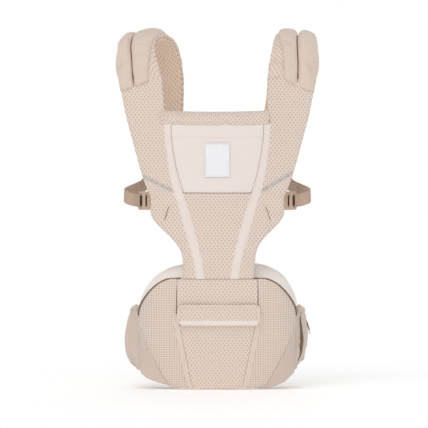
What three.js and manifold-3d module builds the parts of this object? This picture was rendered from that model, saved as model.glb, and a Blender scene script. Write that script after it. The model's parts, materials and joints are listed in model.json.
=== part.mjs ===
// Soft baby carrier with a hip seat: a wedge-shaped seat on a padded waist belt,
// a mesh body panel, a head support that folds forward, two arched shoulder straps,
// a chest strap and side-release buckles.
// Millimetres. +X is the viewer's right, -Y the front (away from the wearer), +Z up.
// The origin is at the middle of the base. `side` is -1 for the left and +1 for the right.
import * as THREE from "three";
import { mergeVertices } from "three/addons/utils/BufferGeometryUtils.js";
import Module from "manifold-3d";

const wasm = await Module();
wasm.setup();

// ---------------------------------------------------------------- driving dimensions
const GAP = 0.35; // between sewn neighbours
const SEAM_Z = 216; // where the body panel is sewn to the seat
const HEAD_FOLD_Z = 383; // crease of the head support
const HEAD_TOP_Z = 509; // top of the smooth head panel
const ROLL_Z = 526; // axis of the neck roll
const STRAP_BASE_Z = 592; // where the wings end and the padded straps begin
const BODY_THICK = 7; // mesh body, binding and wings
const LINING_THICK = 3;
const SEAT_SHOULDER_Y = -42; // where the seat's front surface meets the belt wings
const SEAT_BACK_Y = 24; // back of the seat core
const SEAT_TOP_Z = 241;
const SQUARENESS = 0.75; // how square the seat is in plan, 1 is an ellipse
const WEBBING = 25; // width of the side webbing
const WAIST_WEBBING = 38;
const WEBBING_THICK = 2;
const WING_THICK = 13; // belt wings
const WING_HINGE = { x: 150, y: SEAT_SHOULDER_Y + 4 }; // outer front corner of a belt wing
const SIDE_BUCKLE_TILT = THREE.MathUtils.degToRad(20); // follows the wing's turn
const PAD_HALF_WIDTH = 45; // shoulder pads

// ---------------------------------------------------------------- materials
const fabric = (color, roughness = 0.9) => () =>
  new THREE.MeshStandardMaterial({ color, roughness, metalness: 0 });
const mesh3d = fabric(0xdccabb);
const fineMesh = fabric(0xd9c6b6);
const cream = fabric(0xece0d9, 0.85);
const twill = fabric(0xd3beae, 0.85);
const knit = fabric(0xd8c6b8);
const lining = fabric(0xcdb49c);
const webbing = fabric(0xc4a68c, 0.8);
const reflective = fabric(0xc8c6cc, 0.4);
const labelCloth = fabric(0xf1f0f2, 0.8);
const foam = fabric(0xbdb8b2);
const elastic = fabric(0x8f7a69);
const pullCord = fabric(0xe8e6e4, 0.6);
const plastic = fabric(0xc6a58a, 0.45);

// ---------------------------------------------------------------- curves and solids
// A smooth function through a few [position, value] pairs.
function profile(pairs) {
  const slope = pairs.map((_, i) => {
    const a = pairs[Math.max(i - 1, 0)];
    const b = pairs[Math.min(i + 1, pairs.length - 1)];
    return (b[1] - a[1]) / (b[0] - a[0]);
  });
  return (t) => {
    let i = 0;
    while (i < pairs.length - 2 && t > pairs[i + 1][0]) i += 1;
    const [t0, v0] = pairs[i];
    const [t1, v1] = pairs[i + 1];
    const h = t1 - t0;
    const s = THREE.MathUtils.clamp((t - t0) / h, 0, 1);
    const rise = s * s * (3 - 2 * s);
    return (
      v0 +
      (v1 - v0) * rise +
      h * slope[i] * s * (1 - s) ** 2 -
      h * slope[i + 1] * s * s * (1 - s)
    );
  };
}

// A closed geometry from points and triangles, turned so that it faces out.
function closed(points, triangles) {
  const volume = triangles.reduce((sum, [a, b, c]) => {
    const cross = new THREE.Vector3().crossVectors(points[b], points[c]);
    return sum + points[a].dot(cross);
  }, 0);
  const index = triangles.flatMap(([a, b, c]) => (volume < 0 ? [a, c, b] : [a, b, c]));
  const geometry = new THREE.BufferGeometry().setFromPoints(points);
  geometry.setIndex(index);
  return geometry;
}

// A curved slab between two surfaces that share one u, v grid.
function slab(nu, nv, outer, inner) {
  const points = [];
  const layer = (nu + 1) * (nv + 1);
  for (const surface of [outer, inner]) {
    for (let j = 0; j <= nv; j += 1) {
      for (let i = 0; i <= nu; i += 1) points.push(surface(i / nu, j / nv));
    }
  }
  const at = (i, j) => j * (nu + 1) + i;
  const triangles = [];
  const quad = (a, b, c, d) => triangles.push([a, b, c], [a, c, d]);
  for (let j = 0; j < nv; j += 1) {
    for (let i = 0; i < nu; i += 1) {
      quad(at(i, j), at(i + 1, j), at(i + 1, j + 1), at(i, j + 1));
      quad(
        layer + at(i, j),
        layer + at(i, j + 1),
        layer + at(i + 1, j + 1),
        layer + at(i + 1, j),
      );
    }
  }
  const wall = (a, b) => quad(b, a, layer + a, layer + b);
  for (let i = 0; i < nu; i += 1) {
    wall(at(i, 0), at(i + 1, 0));
    wall(at(i + 1, nv), at(i, nv));
  }
  for (let j = 0; j < nv; j += 1) {
    wall(at(0, j + 1), at(0, j));
    wall(at(nu, j), at(nu, j + 1));
  }
  return closed(points, triangles);
}

// A padded band or webbing along a path. Each stop is { at, wide, half, thick }: a point,
// the direction of its width, half the width and half the thickness.
function band(stops, steps, round = 12) {
  const path = new THREE.CatmullRomCurve3(stops.map((s) => s.at), false, "centripetal");
  const spread = (t, get) => {
    const place = t * (stops.length - 1);
    const i = Math.min(Math.floor(place), stops.length - 2);
    return get(stops[i], stops[i + 1], place - i);
  };
  const points = [];
  for (let k = 0; k <= steps; k += 1) {
    const t = k / steps;
    const centre = path.getPoint(t);
    const along = path.getTangent(t);
    const wide = spread(t, (a, b, s) => a.wide.clone().lerp(b.wide, s));
    wide.addScaledVector(along, -wide.dot(along)).normalize();
    const normal = new THREE.Vector3().crossVectors(wide, along).normalize();
    const half = spread(t, (a, b, s) => THREE.MathUtils.lerp(a.half, b.half, s));
    const thick = spread(t, (a, b, s) => THREE.MathUtils.lerp(a.thick, b.thick, s));
    for (let i = 0; i < round; i += 1) {
      const angle = ((i + 0.5) / round) * 2 * Math.PI;
      const c = Math.cos(angle);
      const s = Math.sin(angle);
      points.push(
        centre
          .clone()
          .addScaledVector(wide, half * Math.sign(c) * Math.abs(c) ** 0.45)
          .addScaledVector(normal, thick * Math.sign(s) * Math.abs(s) ** 0.6),
      );
    }
  }
  const triangles = [];
  for (let k = 0; k < steps; k += 1) {
    for (let i = 0; i < round; i += 1) {
      const a = k * round + i;
      const b = k * round + ((i + 1) % round);
      triangles.push([a, b, b + round], [a, b + round, a + round]);
    }
  }
  const last = steps * round;
  for (let i = 1; i < round - 1; i += 1) {
    triangles.push([0, i + 1, i], [last, last + i, last + i + 1]);
  }
  return closed(points, triangles);
}

const stop = (x, y, z, wide, half, thick) => ({
  at: new THREE.Vector3(x, y, z),
  wide: new THREE.Vector3(...wide),
  half,
  thick,
});

// The same band on the other side of the carrier.
const mirrored = (stops, side) =>
  stops.map((s) => ({
    ...s,
    at: new THREE.Vector3(s.at.x * side, s.at.y, s.at.z),
    wide: new THREE.Vector3(s.wide.x * side, s.wide.y, s.wide.z),
  }));

// A flat shape with rounded corners in x and y, and slots cut through it.
function plate(width, height, radius, thick, slots = []) {
  const rounded = (path, x, y, w, h, r) => {
    path.moveTo(x + r, y);
    path.lineTo(x + w - r, y);
    path.absarc(x + w - r, y + r, r, -Math.PI / 2, 0, false);
    path.lineTo(x + w, y + h - r);
    path.absarc(x + w - r, y + h - r, r, 0, Math.PI / 2, false);
    path.lineTo(x + r, y + h);
    path.absarc(x + r, y + h - r, r, Math.PI / 2, Math.PI, false);
    path.lineTo(x, y + r);
    path.absarc(x + r, y + r, r, Math.PI, 1.5 * Math.PI, false);
    return path;
  };
  const shape = rounded(new THREE.Shape(), -width / 2, -height / 2, width, height, radius);
  for (const [x, y, w, h] of slots) {
    shape.holes.push(rounded(new THREE.Path(), x - w / 2, y - h / 2, w, h, Math.min(w, h) * 0.4));
  }
  return new THREE.ExtrudeGeometry(shape, {
    depth: thick,
    bevelEnabled: false,
    curveSegments: 2,
  }).translate(0, 0, -thick / 2);
}

const box = (x0, x1, y0, y1, z0, z1) =>
  new THREE.BoxGeometry(x1 - x0, y1 - y0, z1 - z0).translate(
    (x0 + x1) / 2,
    (y0 + y1) / 2,
    (z0 + z1) / 2,
  );

function solid(geometry) {
  const bare = geometry.clone();
  bare.deleteAttribute("normal");
  bare.deleteAttribute("uv");
  const merged = mergeVertices(bare, 1e-4);
  return new wasm.Manifold(
    new wasm.Mesh({
      numProp: 3,
      vertProperties: new Float32Array(merged.attributes.position.array),
      triVerts: new Uint32Array(merged.index.array),
    }),
  );
}

function geometryOf(manifold) {
  const { vertProperties, triVerts } = manifold.getMesh();
  const geometry = new THREE.BufferGeometry();
  geometry.setAttribute("position", new THREE.BufferAttribute(vertProperties, 3));
  geometry.setIndex(new THREE.BufferAttribute(triVerts, 1));
  return geometry;
}

const cut = (geometry, ...tools) =>
  geometryOf(tools.reduce((s, tool) => s.subtract(solid(tool)), solid(geometry)));
const join = (geometry, ...others) =>
  geometryOf(others.reduce((s, other) => s.add(solid(other)), solid(geometry)));
const common = (geometry, other) => geometryOf(solid(geometry).intersect(solid(other)));

// ---------------------------------------------------------------- the assembly
const carrier = new THREE.Group();
carrier.name = "baby_carrier";

function add(name, geometry, material, parent = carrier) {
  const piece = new THREE.Mesh(geometry, material());
  piece.name = name;
  parent.add(piece);
  return piece;
}

const sideName = (side) => (side < 0 ? "left" : "right");

// ---------------------------------------------------------------- carrier body outlines
const wingEdge = profile([
  [216, 70], [258, 71.5], [293, 88], [327, 121], [341, 129], [375, 130],
  [393, 138], [422, 148], [486, 166], [535, 180], [570, 188], [592, 193],
]);
const bindingOuter = profile([
  [216, 41], [252, 47], [291, 58], [352, 75], [391, 87], [434, 96], [486, 104], [592, 104],
]);
const bindingInner = profile([
  [216, 24], [252, 28.5], [292, 38], [334, 49.5], [389, 67.5], [438, 81], [486, 88.5], [592, 90],
]);
const bodyLean = profile([[216, -138], [300, -124], [390, -108], [510, -92], [600, -83]]);

// Front face of the body: leans back and wraps towards the wearer at the sides.
const bodyFront = (x, z) => bodyLean(z) + 16 * (x / 100) ** 2;

// A sewn panel of the body between two edges, z0 to z1, from `proud` in front of the
// body's face to `depth` behind it.
function bodyPanel({ z0, z1, left, right, proud = 0, depth = BODY_THICK, nu = 4, nv = 16 }) {
  const surface = (offset) => (u, v) => {
    const z = THREE.MathUtils.lerp(z0, z1, v);
    const x = THREE.MathUtils.lerp(left(z), right(z), u);
    return new THREE.Vector3(x, bodyFront(x, z) + offset, z);
  };
  return slab(nu, nv, surface(-proud), surface(depth));
}

function addBody() {
  add(
    "body_panel",
    bodyPanel({
      z0: SEAM_Z + 1,
      z1: HEAD_FOLD_Z - GAP,
      left: (z) => GAP - bindingInner(z),
      right: (z) => bindingInner(z) - GAP,
      nv: 8,
    }),
    mesh3d,
  );
  add(
    "body_lining",
    bodyPanel({
      z0: SEAM_Z + 1,
      z1: HEAD_FOLD_Z - 2,
      left: (z) => 4 - wingEdge(z),
      right: (z) => wingEdge(z) - 4,
      proud: -BODY_THICK - 2 * GAP,
      depth: BODY_THICK + 2 * GAP + LINING_THICK,
      nu: 10,
      nv: 9,
    }),
    lining,
  );
  for (const side of [-1, 1]) {
    add(
      `${sideName(side)}_binding`,
      bodyPanel({
        z0: SEAM_Z + 1,
        z1: HEAD_TOP_Z,
        left: (z) => side * (bindingInner(z) + GAP),
        right: (z) => side * (bindingOuter(z) - GAP),
        proud: 1.5,
        nu: 2,
        nv: 14,
      }),
      cream,
    );
    add(
      `${sideName(side)}_wing`,
      bodyPanel({
        z0: SEAM_Z + 1,
        z1: STRAP_BASE_Z - 1,
        left: (z) => side * (bindingOuter(z) + GAP),
        right: (z) => side * wingEdge(z),
        nu: 4,
        nv: 18,
      }),
      mesh3d,
    );
    addReflectivePiping(side);
    addSideBuckle(side);
  }
}

// Piping along a seam that falls from the wing's outer edge to the binding strip.
function addReflectivePiping(side) {
  const [outer, inner] = [[145, 418], [89, 388.5]];
  const radius = 1.6;
  const steps = 6;
  const stops = [];
  for (let i = 0; i <= steps; i += 1) {
    const t = i / steps;
    const x = THREE.MathUtils.lerp(outer[0], inner[0], t);
    const z = THREE.MathUtils.lerp(outer[1], inner[1], t);
    stops.push(stop(x, bodyFront(x, z) - radius - GAP, z, [0.4, 0, 1], radius, radius));
  }
  add(
    `${sideName(side)}_reflective_piping`,
    band(mirrored(stops, side), 7, 5),
    reflective,
  );
}

// ---------------------------------------------------------------- head support
function addHeadSupport() {
  const cornerRadius = 26;
  const edge = (z) => {
    const up = THREE.MathUtils.clamp((z - HEAD_FOLD_Z) / cornerRadius, 0, 1);
    return bindingInner(z) - GAP - 9 * (1 - Math.sqrt(1 - (1 - up) ** 2));
  };
  add(
    "head_panel",
    bodyPanel({
      z0: HEAD_FOLD_Z + GAP,
      z1: HEAD_TOP_Z - 1,
      left: (z) => -edge(z),
      right: edge,
      proud: 1,
      nu: 6,
      nv: 10,
    }),
    cream,
  );
  const rollHalf = 100;
  const stops = [-1, -0.5, 0, 0.5, 1].map((t) => {
    const x = t * rollHalf;
    const dip = 2 * (1 - t * t);
    return stop(x, bodyFront(x, ROLL_Z) + 3, ROLL_Z - dip, [0, 0, 1], 15.5, 12);
  });
  add("neck_roll", band(stops, 14, 12), mesh3d);
  const label = { z0: 414, z1: 480, half: 24.5 };
  add(
    "label",
    bodyPanel({
      z0: label.z0,
      z1: label.z1,
      left: () => -label.half,
      right: () => label.half,
      proud: 2.4,
      depth: -1 - GAP,
      nu: 2,
      nv: 3,
    }),
    labelCloth,
  );
}

// ---------------------------------------------------------------- side-release buckles
// Built lying flat: +x runs from the ladder end to the anchor end, y across the webbing.
function buckleParts({ width, length, thick, slot, tongueThick = thick - 6 }) {
  const wall = 2.4;
  const socketLength = length * 0.52;
  const plugLength = length - socketLength;
  const tongueWidth = width - 2 * wall - 4;
  const anchor = [socketLength - 4.5, 0, 3.4, slot];
  const body = plate(socketLength, width, 4, thick, [
    [anchor[0] - socketLength / 2, 0, anchor[2], anchor[3]],
  ]).translate(socketLength / 2, 0, 0);
  const cavity = box(
    -1,
    socketLength - 10,
    -tongueWidth / 2 - 0.8,
    tongueWidth / 2 + 0.8,
    -tongueThick / 2 - 0.6,
    tongueThick / 2 + 0.6,
  );
  const windows = box(
    socketLength * 0.3,
    socketLength * 0.62,
    -width,
    width,
    -tongueThick / 2 - 0.6,
    tongueThick / 2 + 0.6,
  );
  const socket = cut(body, cavity, windows);
  const ladder = plate(plugLength - 0.8, width, 4, thick * 0.78, [
    [-plugLength * 0.24, 0, 3.6, slot],
    [plugLength * 0.12, 0, 3.6, slot],
  ]).translate(-plugLength / 2 - 0.4, 0, 0);
  const reach = socketLength - 12;
  const spine = box(-2, reach, -3, 3, -tongueThick / 2, tongueThick / 2);
  const prongs = [-1, 1].map((end) => {
    const y = end * (tongueWidth / 2 - 2.5);
    return box(-2, reach * 0.8, y - 2.2, y + 2.2, -tongueThick / 2, tongueThick / 2);
  });
  const plug = join(ladder, spine, ...prongs);
  return { socket, plug, socketLength, plugLength };
}

// The frame of a side buckle: its ladder end is outermost and behind the wing's edge.
function sideBuckleGroup(side) {
  const holder = new THREE.Group();
  holder.position.set(side * 127, -64, 368);
  holder.rotation.z = side < 0 ? -SIDE_BUCKLE_TILT : Math.PI + SIDE_BUCKLE_TILT;
  const upright = new THREE.Group();
  upright.rotation.x = Math.PI / 2;
  holder.add(upright);
  carrier.add(holder);
  return upright;
}

function addSideBuckle(side) {
  const name = sideName(side);
  const { socket, plug, socketLength } = buckleParts({
    width: 36,
    length: 58,
    thick: 11,
    slot: 26,
  });
  const frame = sideBuckleGroup(side);
  add(`${name}_side_buckle_socket`, socket, plastic, frame);
  add(`${name}_side_buckle_plug`, plug, plastic, frame);
  // A short webbing through the socket's anchor slot, sewn to the back of the wing.
  const tab = box(
    socketLength + GAP,
    socketLength + 26,
    -WEBBING / 2,
    WEBBING / 2,
    -WEBBING_THICK / 2,
    WEBBING_THICK / 2,
  );
  add(`${name}_anchor_webbing`, tab, webbing, frame);
  // Webbing that leaves the ladder bar in front, swings outward and returns behind it.
  const loop = [
    stop(151, -66.5, 368, [0, 0, 1], WEBBING / 2, WEBBING_THICK / 2),
    stop(166, -72, 371, [-0.1, 0, 1], WEBBING / 2, WEBBING_THICK / 2),
    stop(179, -64, 376, [-0.1, 0.1, 1], WEBBING / 2, WEBBING_THICK / 2),
    stop(181, -46, 384, [0, 0.2, 1], WEBBING / 2, WEBBING_THICK / 2),
    stop(172, -26, 390, [0.1, 0.2, 1], WEBBING / 2, WEBBING_THICK / 2),
    stop(160, -8, 396, [0.2, 0.1, 1], WEBBING / 2, WEBBING_THICK / 2),
  ];
  add(`${name}_webbing_loop`, band(mirrored(loop, side), 14, 6), webbing);
}

// ---------------------------------------------------------------- shoulder straps
// Stops of a strap's middle line, from the wing over the shoulder and down behind.
function strapStops(side, shift) {
  const rows =
    side < 0
      ? [
          // x, y, z, half width, how far the outer edge drops
          [149, -52, STRAP_BASE_Z + 3, 44, 0], [156.2, -46, 630, 41, 0.04],
          [158.5, -30, 672, 36, 0.1], [138, 8, 691.5, 40, 0.13], [124, 48, 676, 44, 0.06],
          [114, 76, 630, PAD_HALF_WIDTH, 0], [112, 90, 570, PAD_HALF_WIDTH, 0],
          [116, 96, 500, PAD_HALF_WIDTH, 0], [121, 92, 445, 40, 0],
        ]
      : [
          [148, -52, STRAP_BASE_Z + 3, 44, 0], [150.8, -46, 630, 45, 0.02],
          [155.2, -30, 672, 41.6, 0.05], [155, 8, 692.5, 40, 0.07], [151, 48, 676, 41, 0.03],
          [146, 76, 630, 44, 0], [141, 90, 570, 44, 0], [128, 96, 500, 42, 0],
          [119, 92, 445, 36, 0],
        ];
  const points = rows.map(([x, y, z]) => new THREE.Vector3(side * x, y, z));
  return rows.map(([, , , half, drop], i) => {
    const before = points[Math.max(i - 1, 0)];
    const after = points[Math.min(i + 1, points.length - 1)];
    const along = after.clone().sub(before);
    const out = new THREE.Vector3(0, -along.z, along.y).normalize();
    return {
      at: points[i].clone().addScaledVector(out, shift),
      wide: new THREE.Vector3(1, side * (i < 3 ? 0.25 : 0), -side * drop),
      half,
    };
  });
}

function addStrap(side) {
  const name = sideName(side);
  const pad = strapStops(side, 2).map((s) => ({ ...s, thick: 7 }));
  add(`${name}_strap_pad`, band(pad, 22, 12), knit);
  const inside = strapStops(side, -8.4).map((s) => ({ ...s, half: s.half - 3, thick: 1.8 }));
  inside[0].at.z += 8;
  add(`${name}_strap_lining`, band(inside, 22, 8), lining);
  const flat = [1, 0, 0];
  const upright = [0.1, 0, 1];
  const half = WEBBING / 2;
  const thick = WEBBING_THICK / 2;
  const run = [
    stop(120, 90, 437, flat, half, thick),
    stop(124, 84, 420, flat, half, thick),
    stop(134, 64, 408, [0.8, 0, 0.6], half, thick),
    stop(148, 34, 400, upright, half, thick),
    stop(158, -2, 398, upright, half, thick),
  ];
  add(`${name}_strap_webbing`, band(mirrored(run, side), 12, 6), webbing);
}

// ---------------------------------------------------------------- chest strap
const CHEST = { z: 512, y: 114, rail: 118, travel: 30 };

function addChestStrap() {
  for (const side of [-1, 1]) {
    const railY = CHEST.y - 4.6;
    const rail = [-1, 1].map((end) =>
      stop(CHEST.rail, railY, CHEST.z + end * (CHEST.travel + 20), [1, 0, 0], 8, 0.9),
    );
    add(`${sideName(side)}_chest_rail`, band(mirrored(rail, side), 2, 8), webbing);
    const slider = cut(
      plate(26, 30, 3, 6.4),
      box(-8.8, 8.8, -20, 20, -1.7, 1.7),
    );
    slider.rotateX(Math.PI / 2).translate(side * CHEST.rail, railY, CHEST.z);
    add(`${sideName(side)}_chest_slider`, slider, plastic);
    const ends = side < 0 ? [-102, -24.5] : [24.5, 102];
    const web = box(ends[0], ends[1], CHEST.y, CHEST.y + WEBBING_THICK, CHEST.z - 10, CHEST.z + 10);
    add(`${sideName(side)}_chest_webbing`, web, webbing);
  }
  const { socket, plug } = buckleParts({ width: 28, length: 46, thick: 9, slot: 20 });
  const place = (geometry) => geometry.rotateX(Math.PI / 2).translate(0, CHEST.y + 1, CHEST.z);
  add("chest_buckle_socket", place(socket), plastic);
  add("chest_buckle_plug", place(plug), plastic);
}

// ---------------------------------------------------------------- hip seat
// Half width and forward reach of the seat's front surface at height z.
const seatWidth = profile([
  [0, 72], [8, 97], [18, 107], [57, 130], [86, 144], [115, 151], [136, 152], [216, 152],
]);
// Half width at which the side pockets end and the side panels begin.
const pocketEnd = profile([
  [0, 68], [8, 92], [18, 101], [57, 122], [86, 136], [115, 147], [136, 151], [216, 152],
]);
const seatReach = profile([
  [0, 24], [12, 32], [60, 57], [120, 82], [168, 93], [200, 96], [216, 95],
]);
const frontPanelEdge = profile([[0, 46], [12, 52], [67, 63], [128, 75], [154, 79], [216, 79]]);
const COVER_BOTTOM_Z = 150;
const COVER_SHOULDER_Y = -10;
const COVER_THICK = 10;
const coverWidth = profile([
  [COVER_BOTTOM_Z, 143], [160, 151], [172, 153], [190, 147], [208, 134], [223, 113],
  [235, 87], [SEAT_TOP_Z, 66],
]);
const coverReach = profile([
  [COVER_BOTTOM_Z, 98], [170, 99], [200, 98], [216, 95], [224, 90], [235, 78], [SEAT_TOP_Z, 60],
]);
const POCKET_DEPTH = 18; // from the seat's face to the core, open inside the pockets
const POCKET_TOP_Z = 131; // the front pocket's mouth is between these two heights,
const MOUTH_TOP_Z = 140; // behind the flap

const rounded = (value) => Math.sign(value) * Math.abs(value) ** SQUARENESS;

// Point of the seat's front surface at angle phi (0 in front, a quarter turn at the sides).
function seatPoint(phi, z, offset) {
  const x = (seatWidth(z) + offset) * rounded(Math.sin(phi));
  const y = SEAT_SHOULDER_Y - (seatReach(z) + offset) * rounded(Math.cos(phi));
  return new THREE.Vector3(x, y, z);
}

// Angle at which that surface reaches half width x.
const seatAngle = (x, z) =>
  Math.asin(Math.min(1, Math.abs(x) / seatWidth(z)) ** (1 / SQUARENESS)) * Math.sign(x);

function seatPatch({ z0, z1, from, to, proud = 0, depth, nu, nv }) {
  const surface = (offset) => (u, v) => {
    const z = THREE.MathUtils.lerp(z0, z1, v);
    return seatPoint(THREE.MathUtils.lerp(from(z), to(z), u), z, offset);
  };
  return slab(nu, nv, surface(proud), surface(-depth));
}

// Layers of a lofted solid, one closed plan outline at each height.
function loft(levels, outline, round) {
  const points = levels.flatMap((z) => outline(z, round));
  const triangles = [];
  for (let k = 0; k < levels.length - 1; k += 1) {
    for (let i = 0; i < round; i += 1) {
      const a = k * round + i;
      const b = k * round + ((i + 1) % round);
      triangles.push([a, b, b + round], [a, b + round, a + round]);
    }
  }
  const top = (levels.length - 1) * round;
  const middle = (start) =>
    points
      .slice(start, start + round)
      .reduce((sum, p) => sum.add(p), new THREE.Vector3())
      .divideScalar(round);
  const bottomMiddle = points.push(middle(0)) - 1;
  const topMiddle = points.push(middle(top)) - 1;
  for (let i = 0; i < round; i += 1) {
    const j = (i + 1) % round;
    triangles.push([bottomMiddle, j, i], [topMiddle, top + i, top + j]);
  }
  return closed(points, triangles);
}

// A plan outline: rounded in front of shoulderY, rounded off at backY.
function planOutline(width, reach, shoulderY, backY, z, round) {
  const points = [];
  for (let i = 0; i < round; i += 1) {
    const angle = (i / round) * 2 * Math.PI;
    const ahead = Math.cos(angle);
    const depth = ahead > 0 ? reach : backY - shoulderY;
    const squareness = ahead > 0 ? SQUARENESS : 0.4;
    const bend = (value) => Math.sign(value) * Math.abs(value) ** squareness;
    points.push(
      new THREE.Vector3(width * bend(Math.sin(angle)), shoulderY - depth * bend(ahead), z),
    );
  }
  return points;
}

function addHipSeat() {
  add(
    "seat_core",
    loft(
      [5, 30, 90, COVER_BOTTOM_Z - 2, 205, 222],
      (z, round) => {
        if (z < COVER_BOTTOM_Z - 2) {
          const reach = seatReach(z) - POCKET_DEPTH;
          return planOutline(seatWidth(z) - 22, reach, SEAT_SHOULDER_Y, SEAT_BACK_Y, z, round);
        }
        const width = coverWidth(z) - COVER_THICK - 3;
        const reach = coverReach(z) - COVER_THICK - 3;
        return planOutline(width, reach, COVER_SHOULDER_Y, SEAT_BACK_Y, z, round);
      },
      28,
    ),
    foam,
  );
  addSeatCover();
  add(
    "base_panel",
    loft(
      [0, 4],
      (z, round) => planOutline(66 + 5 * z, 26 + z / 2, SEAT_SHOULDER_Y, 44, z, round),
      28,
    ),
    twill,
  );
  add(
    "upper_front_panel",
    seatPatch({
      z0: MOUTH_TOP_Z,
      z1: SEAM_Z - 1.5,
      from: (z) => seatAngle(GAP - frontPanelEdge(z), z),
      to: (z) => seatAngle(frontPanelEdge(z) - GAP, z),
      depth: POCKET_DEPTH - 2 * GAP,
      nu: 8,
      nv: 5,
    }),
    mesh3d,
  );
  add(
    "front_pocket_panel",
    seatPatch({
      z0: 5,
      z1: POCKET_TOP_Z,
      from: (z) => seatAngle(GAP - frontPanelEdge(z), z),
      to: (z) => seatAngle(frontPanelEdge(z) - GAP, z),
      depth: 3,
      nu: 8,
      nv: 8,
    }),
    mesh3d,
  );
  for (const side of [-1, 1]) {
    addSidePocket(side);
    addSidePanel(side);
  }
  addPocketFlap();
  addBellyPad();
}

// A padded dome over the top and sides of the core, open behind and below.
function addSeatCover() {
  const levels = [COVER_BOTTOM_Z, 160, 172, 190, 208, 223, 235, SEAT_TOP_Z];
  const dome = loft(
    levels,
    (z, round) => planOutline(coverWidth(z), coverReach(z), COVER_SHOULDER_Y, SEAT_BACK_Y, z, round),
    32,
  );
  const room = loft(
    [COVER_BOTTOM_Z - 5, 160, 172, 190, 208, 224],
    (z, round) => {
      const width = coverWidth(z) - COVER_THICK;
      const reach = coverReach(z) - COVER_THICK;
      return planOutline(width, reach, COVER_SHOULDER_Y, SEAT_BACK_Y + 200, z, round);
    },
    32,
  );
  const hollow = cut(dome, room);
  for (const side of [-1, 1]) {
    const [x0, x1] = side < 0 ? [-200, -GAP] : [GAP, 200];
    const half = common(hollow, box(x0, x1, -200, 200, 0, 300));
    add(`${sideName(side)}_seat_cover`, half, cream);
  }
}

// A mesh pocket: its top edge curves down to the side and stands open behind.
function addSidePocket(side) {
  const name = sideName(side);
  const openFrom = 145;
  const openRise = 70;
  const outer = (z) => {
    const up = THREE.MathUtils.clamp((z - openFrom) / openRise, 0, 1);
    return 78 + 73 * Math.sqrt(1 - up ** 1.3);
  };
  add(
    `${name}_side_pocket`,
    seatPatch({
      z0: 5,
      z1: SEAM_Z - 3,
      from: (z) => side * seatAngle(frontPanelEdge(z) + 2.4, z),
      to: (z) => side * seatAngle(Math.min(outer(z), pocketEnd(z)), z),
      depth: 3,
      nu: 7,
      nv: 10,
    }),
    fineMesh,
  );
  const stops = [];
  const steps = 8;
  for (let i = 0; i <= steps; i += 1) {
    const z = THREE.MathUtils.lerp(7, SEAM_Z - 4, i / steps);
    const p = seatPoint(seatAngle(frontPanelEdge(z) + 1.02, z), z, 0.1);
    stops.push(stop(p.x, p.y, p.z, [1, 0, 0], 0.9, 0.9));
  }
  add(`${name}_seam_piping`, band(mirrored(stops, side), 12, 4), cream);
}

// Twill that carries the seat's face on from the side pocket to the belt wing.
function addSidePanel(side) {
  const ahead = { z0: 8, z1: 140 };
  const behind = { z0: 36, z1: 140, x: WING_HINGE.x - 5.6, y: WING_HINGE.y + 4.4 };
  const turn = [0.8, -0.6]; // across the panel where it meets the wing
  const seam = 0.012; // radians between the pocket and the panel
  const surface = (depth) => (u, v) => {
    const z = THREE.MathUtils.lerp(ahead.z0, ahead.z1, v);
    const start = seatPoint(seatAngle(pocketEnd(z), z) + seam, z, depth - 1.5);
    const end = new THREE.Vector3(
      behind.x + turn[0] * depth,
      behind.y + turn[1] * depth,
      THREE.MathUtils.lerp(behind.z0, behind.z1, v),
    );
    const point = start.lerp(end, u);
    return point.setX(side * point.x);
  };
  add(`${sideName(side)}_side_panel`, slab(3, 8, surface(1.5), surface(-1.5)), twill);
}

const FLAP = { z: 168, half: 80, drop: 41, thick: 6 };

function addPocketFlap() {
  const radius = 12;
  const edge = (z) => {
    const fromEnd = Math.min(FLAP.z - z, z - (FLAP.z - FLAP.drop));
    const short = THREE.MathUtils.clamp(1 - fromEnd / radius, 0, 1);
    return FLAP.half - radius * (1 - Math.sqrt(1 - short * short));
  };
  add(
    "pocket_flap",
    seatPatch({
      z0: FLAP.z - FLAP.drop,
      z1: FLAP.z,
      from: (z) => seatAngle(-edge(z), z),
      to: (z) => seatAngle(edge(z), z),
      proud: GAP + 1 + FLAP.thick,
      depth: -GAP - 1,
      nu: 10,
      nv: 8,
    }),
    mesh3d,
  );
}

// The padded middle of the belt: its lower edge rises towards the sides.
function addBellyPad() {
  const half = 148;
  const low = (x) => 5 + 27 * (Math.abs(x) / half) ** 3.2;
  const high = (x) => 152 - 8 * (x / half) ** 2;
  const back = (x) => 30 + 8 * (x / half) ** 2;
  const surface = (depth) => (u, v) => {
    const x = THREE.MathUtils.lerp(-half, half, u);
    const z = THREE.MathUtils.lerp(low(x), high(x), v);
    return new THREE.Vector3(x, back(x) + depth, z);
  };
  add("belly_pad", slab(12, 4, surface(-5), surface(7)), twill);
}

// ---------------------------------------------------------------- belt wings and waist buckle
function addBeltWing(side) {
  const up = [0, 0, 1];
  const t = WING_THICK / 2;
  const stops = [
    stop(WING_HINGE.x - 4, WING_HINGE.y + 6.5, 88, up, 53, t * 0.8),
    stop(161, -12, 88.5, up, 57, t),
    stop(171, 16, 99, up, 59, t),
    stop(172, 55, 101, up, 56, t),
    stop(160, 92, 103, up, 51, t),
    stop(136, 117, 104, up, 46, t),
    stop(108, 129, 104, up, 40, t * 0.8),
  ];
  add(`${sideName(side)}_belt_wing`, band(mirrored(stops, side), 14, 12), twill);
}

// The pull of the zip on the outside of the right wing.
function addZipPull() {
  const pull = plate(5, 34, 2.2, 1.6).rotateX(Math.PI / 2).rotateZ(Math.PI / 2);
  pull.rotateY(THREE.MathUtils.degToRad(-4));
  add("zip_pull", pull.translate(181.4, 24, 121), pullCord);
}

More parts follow.
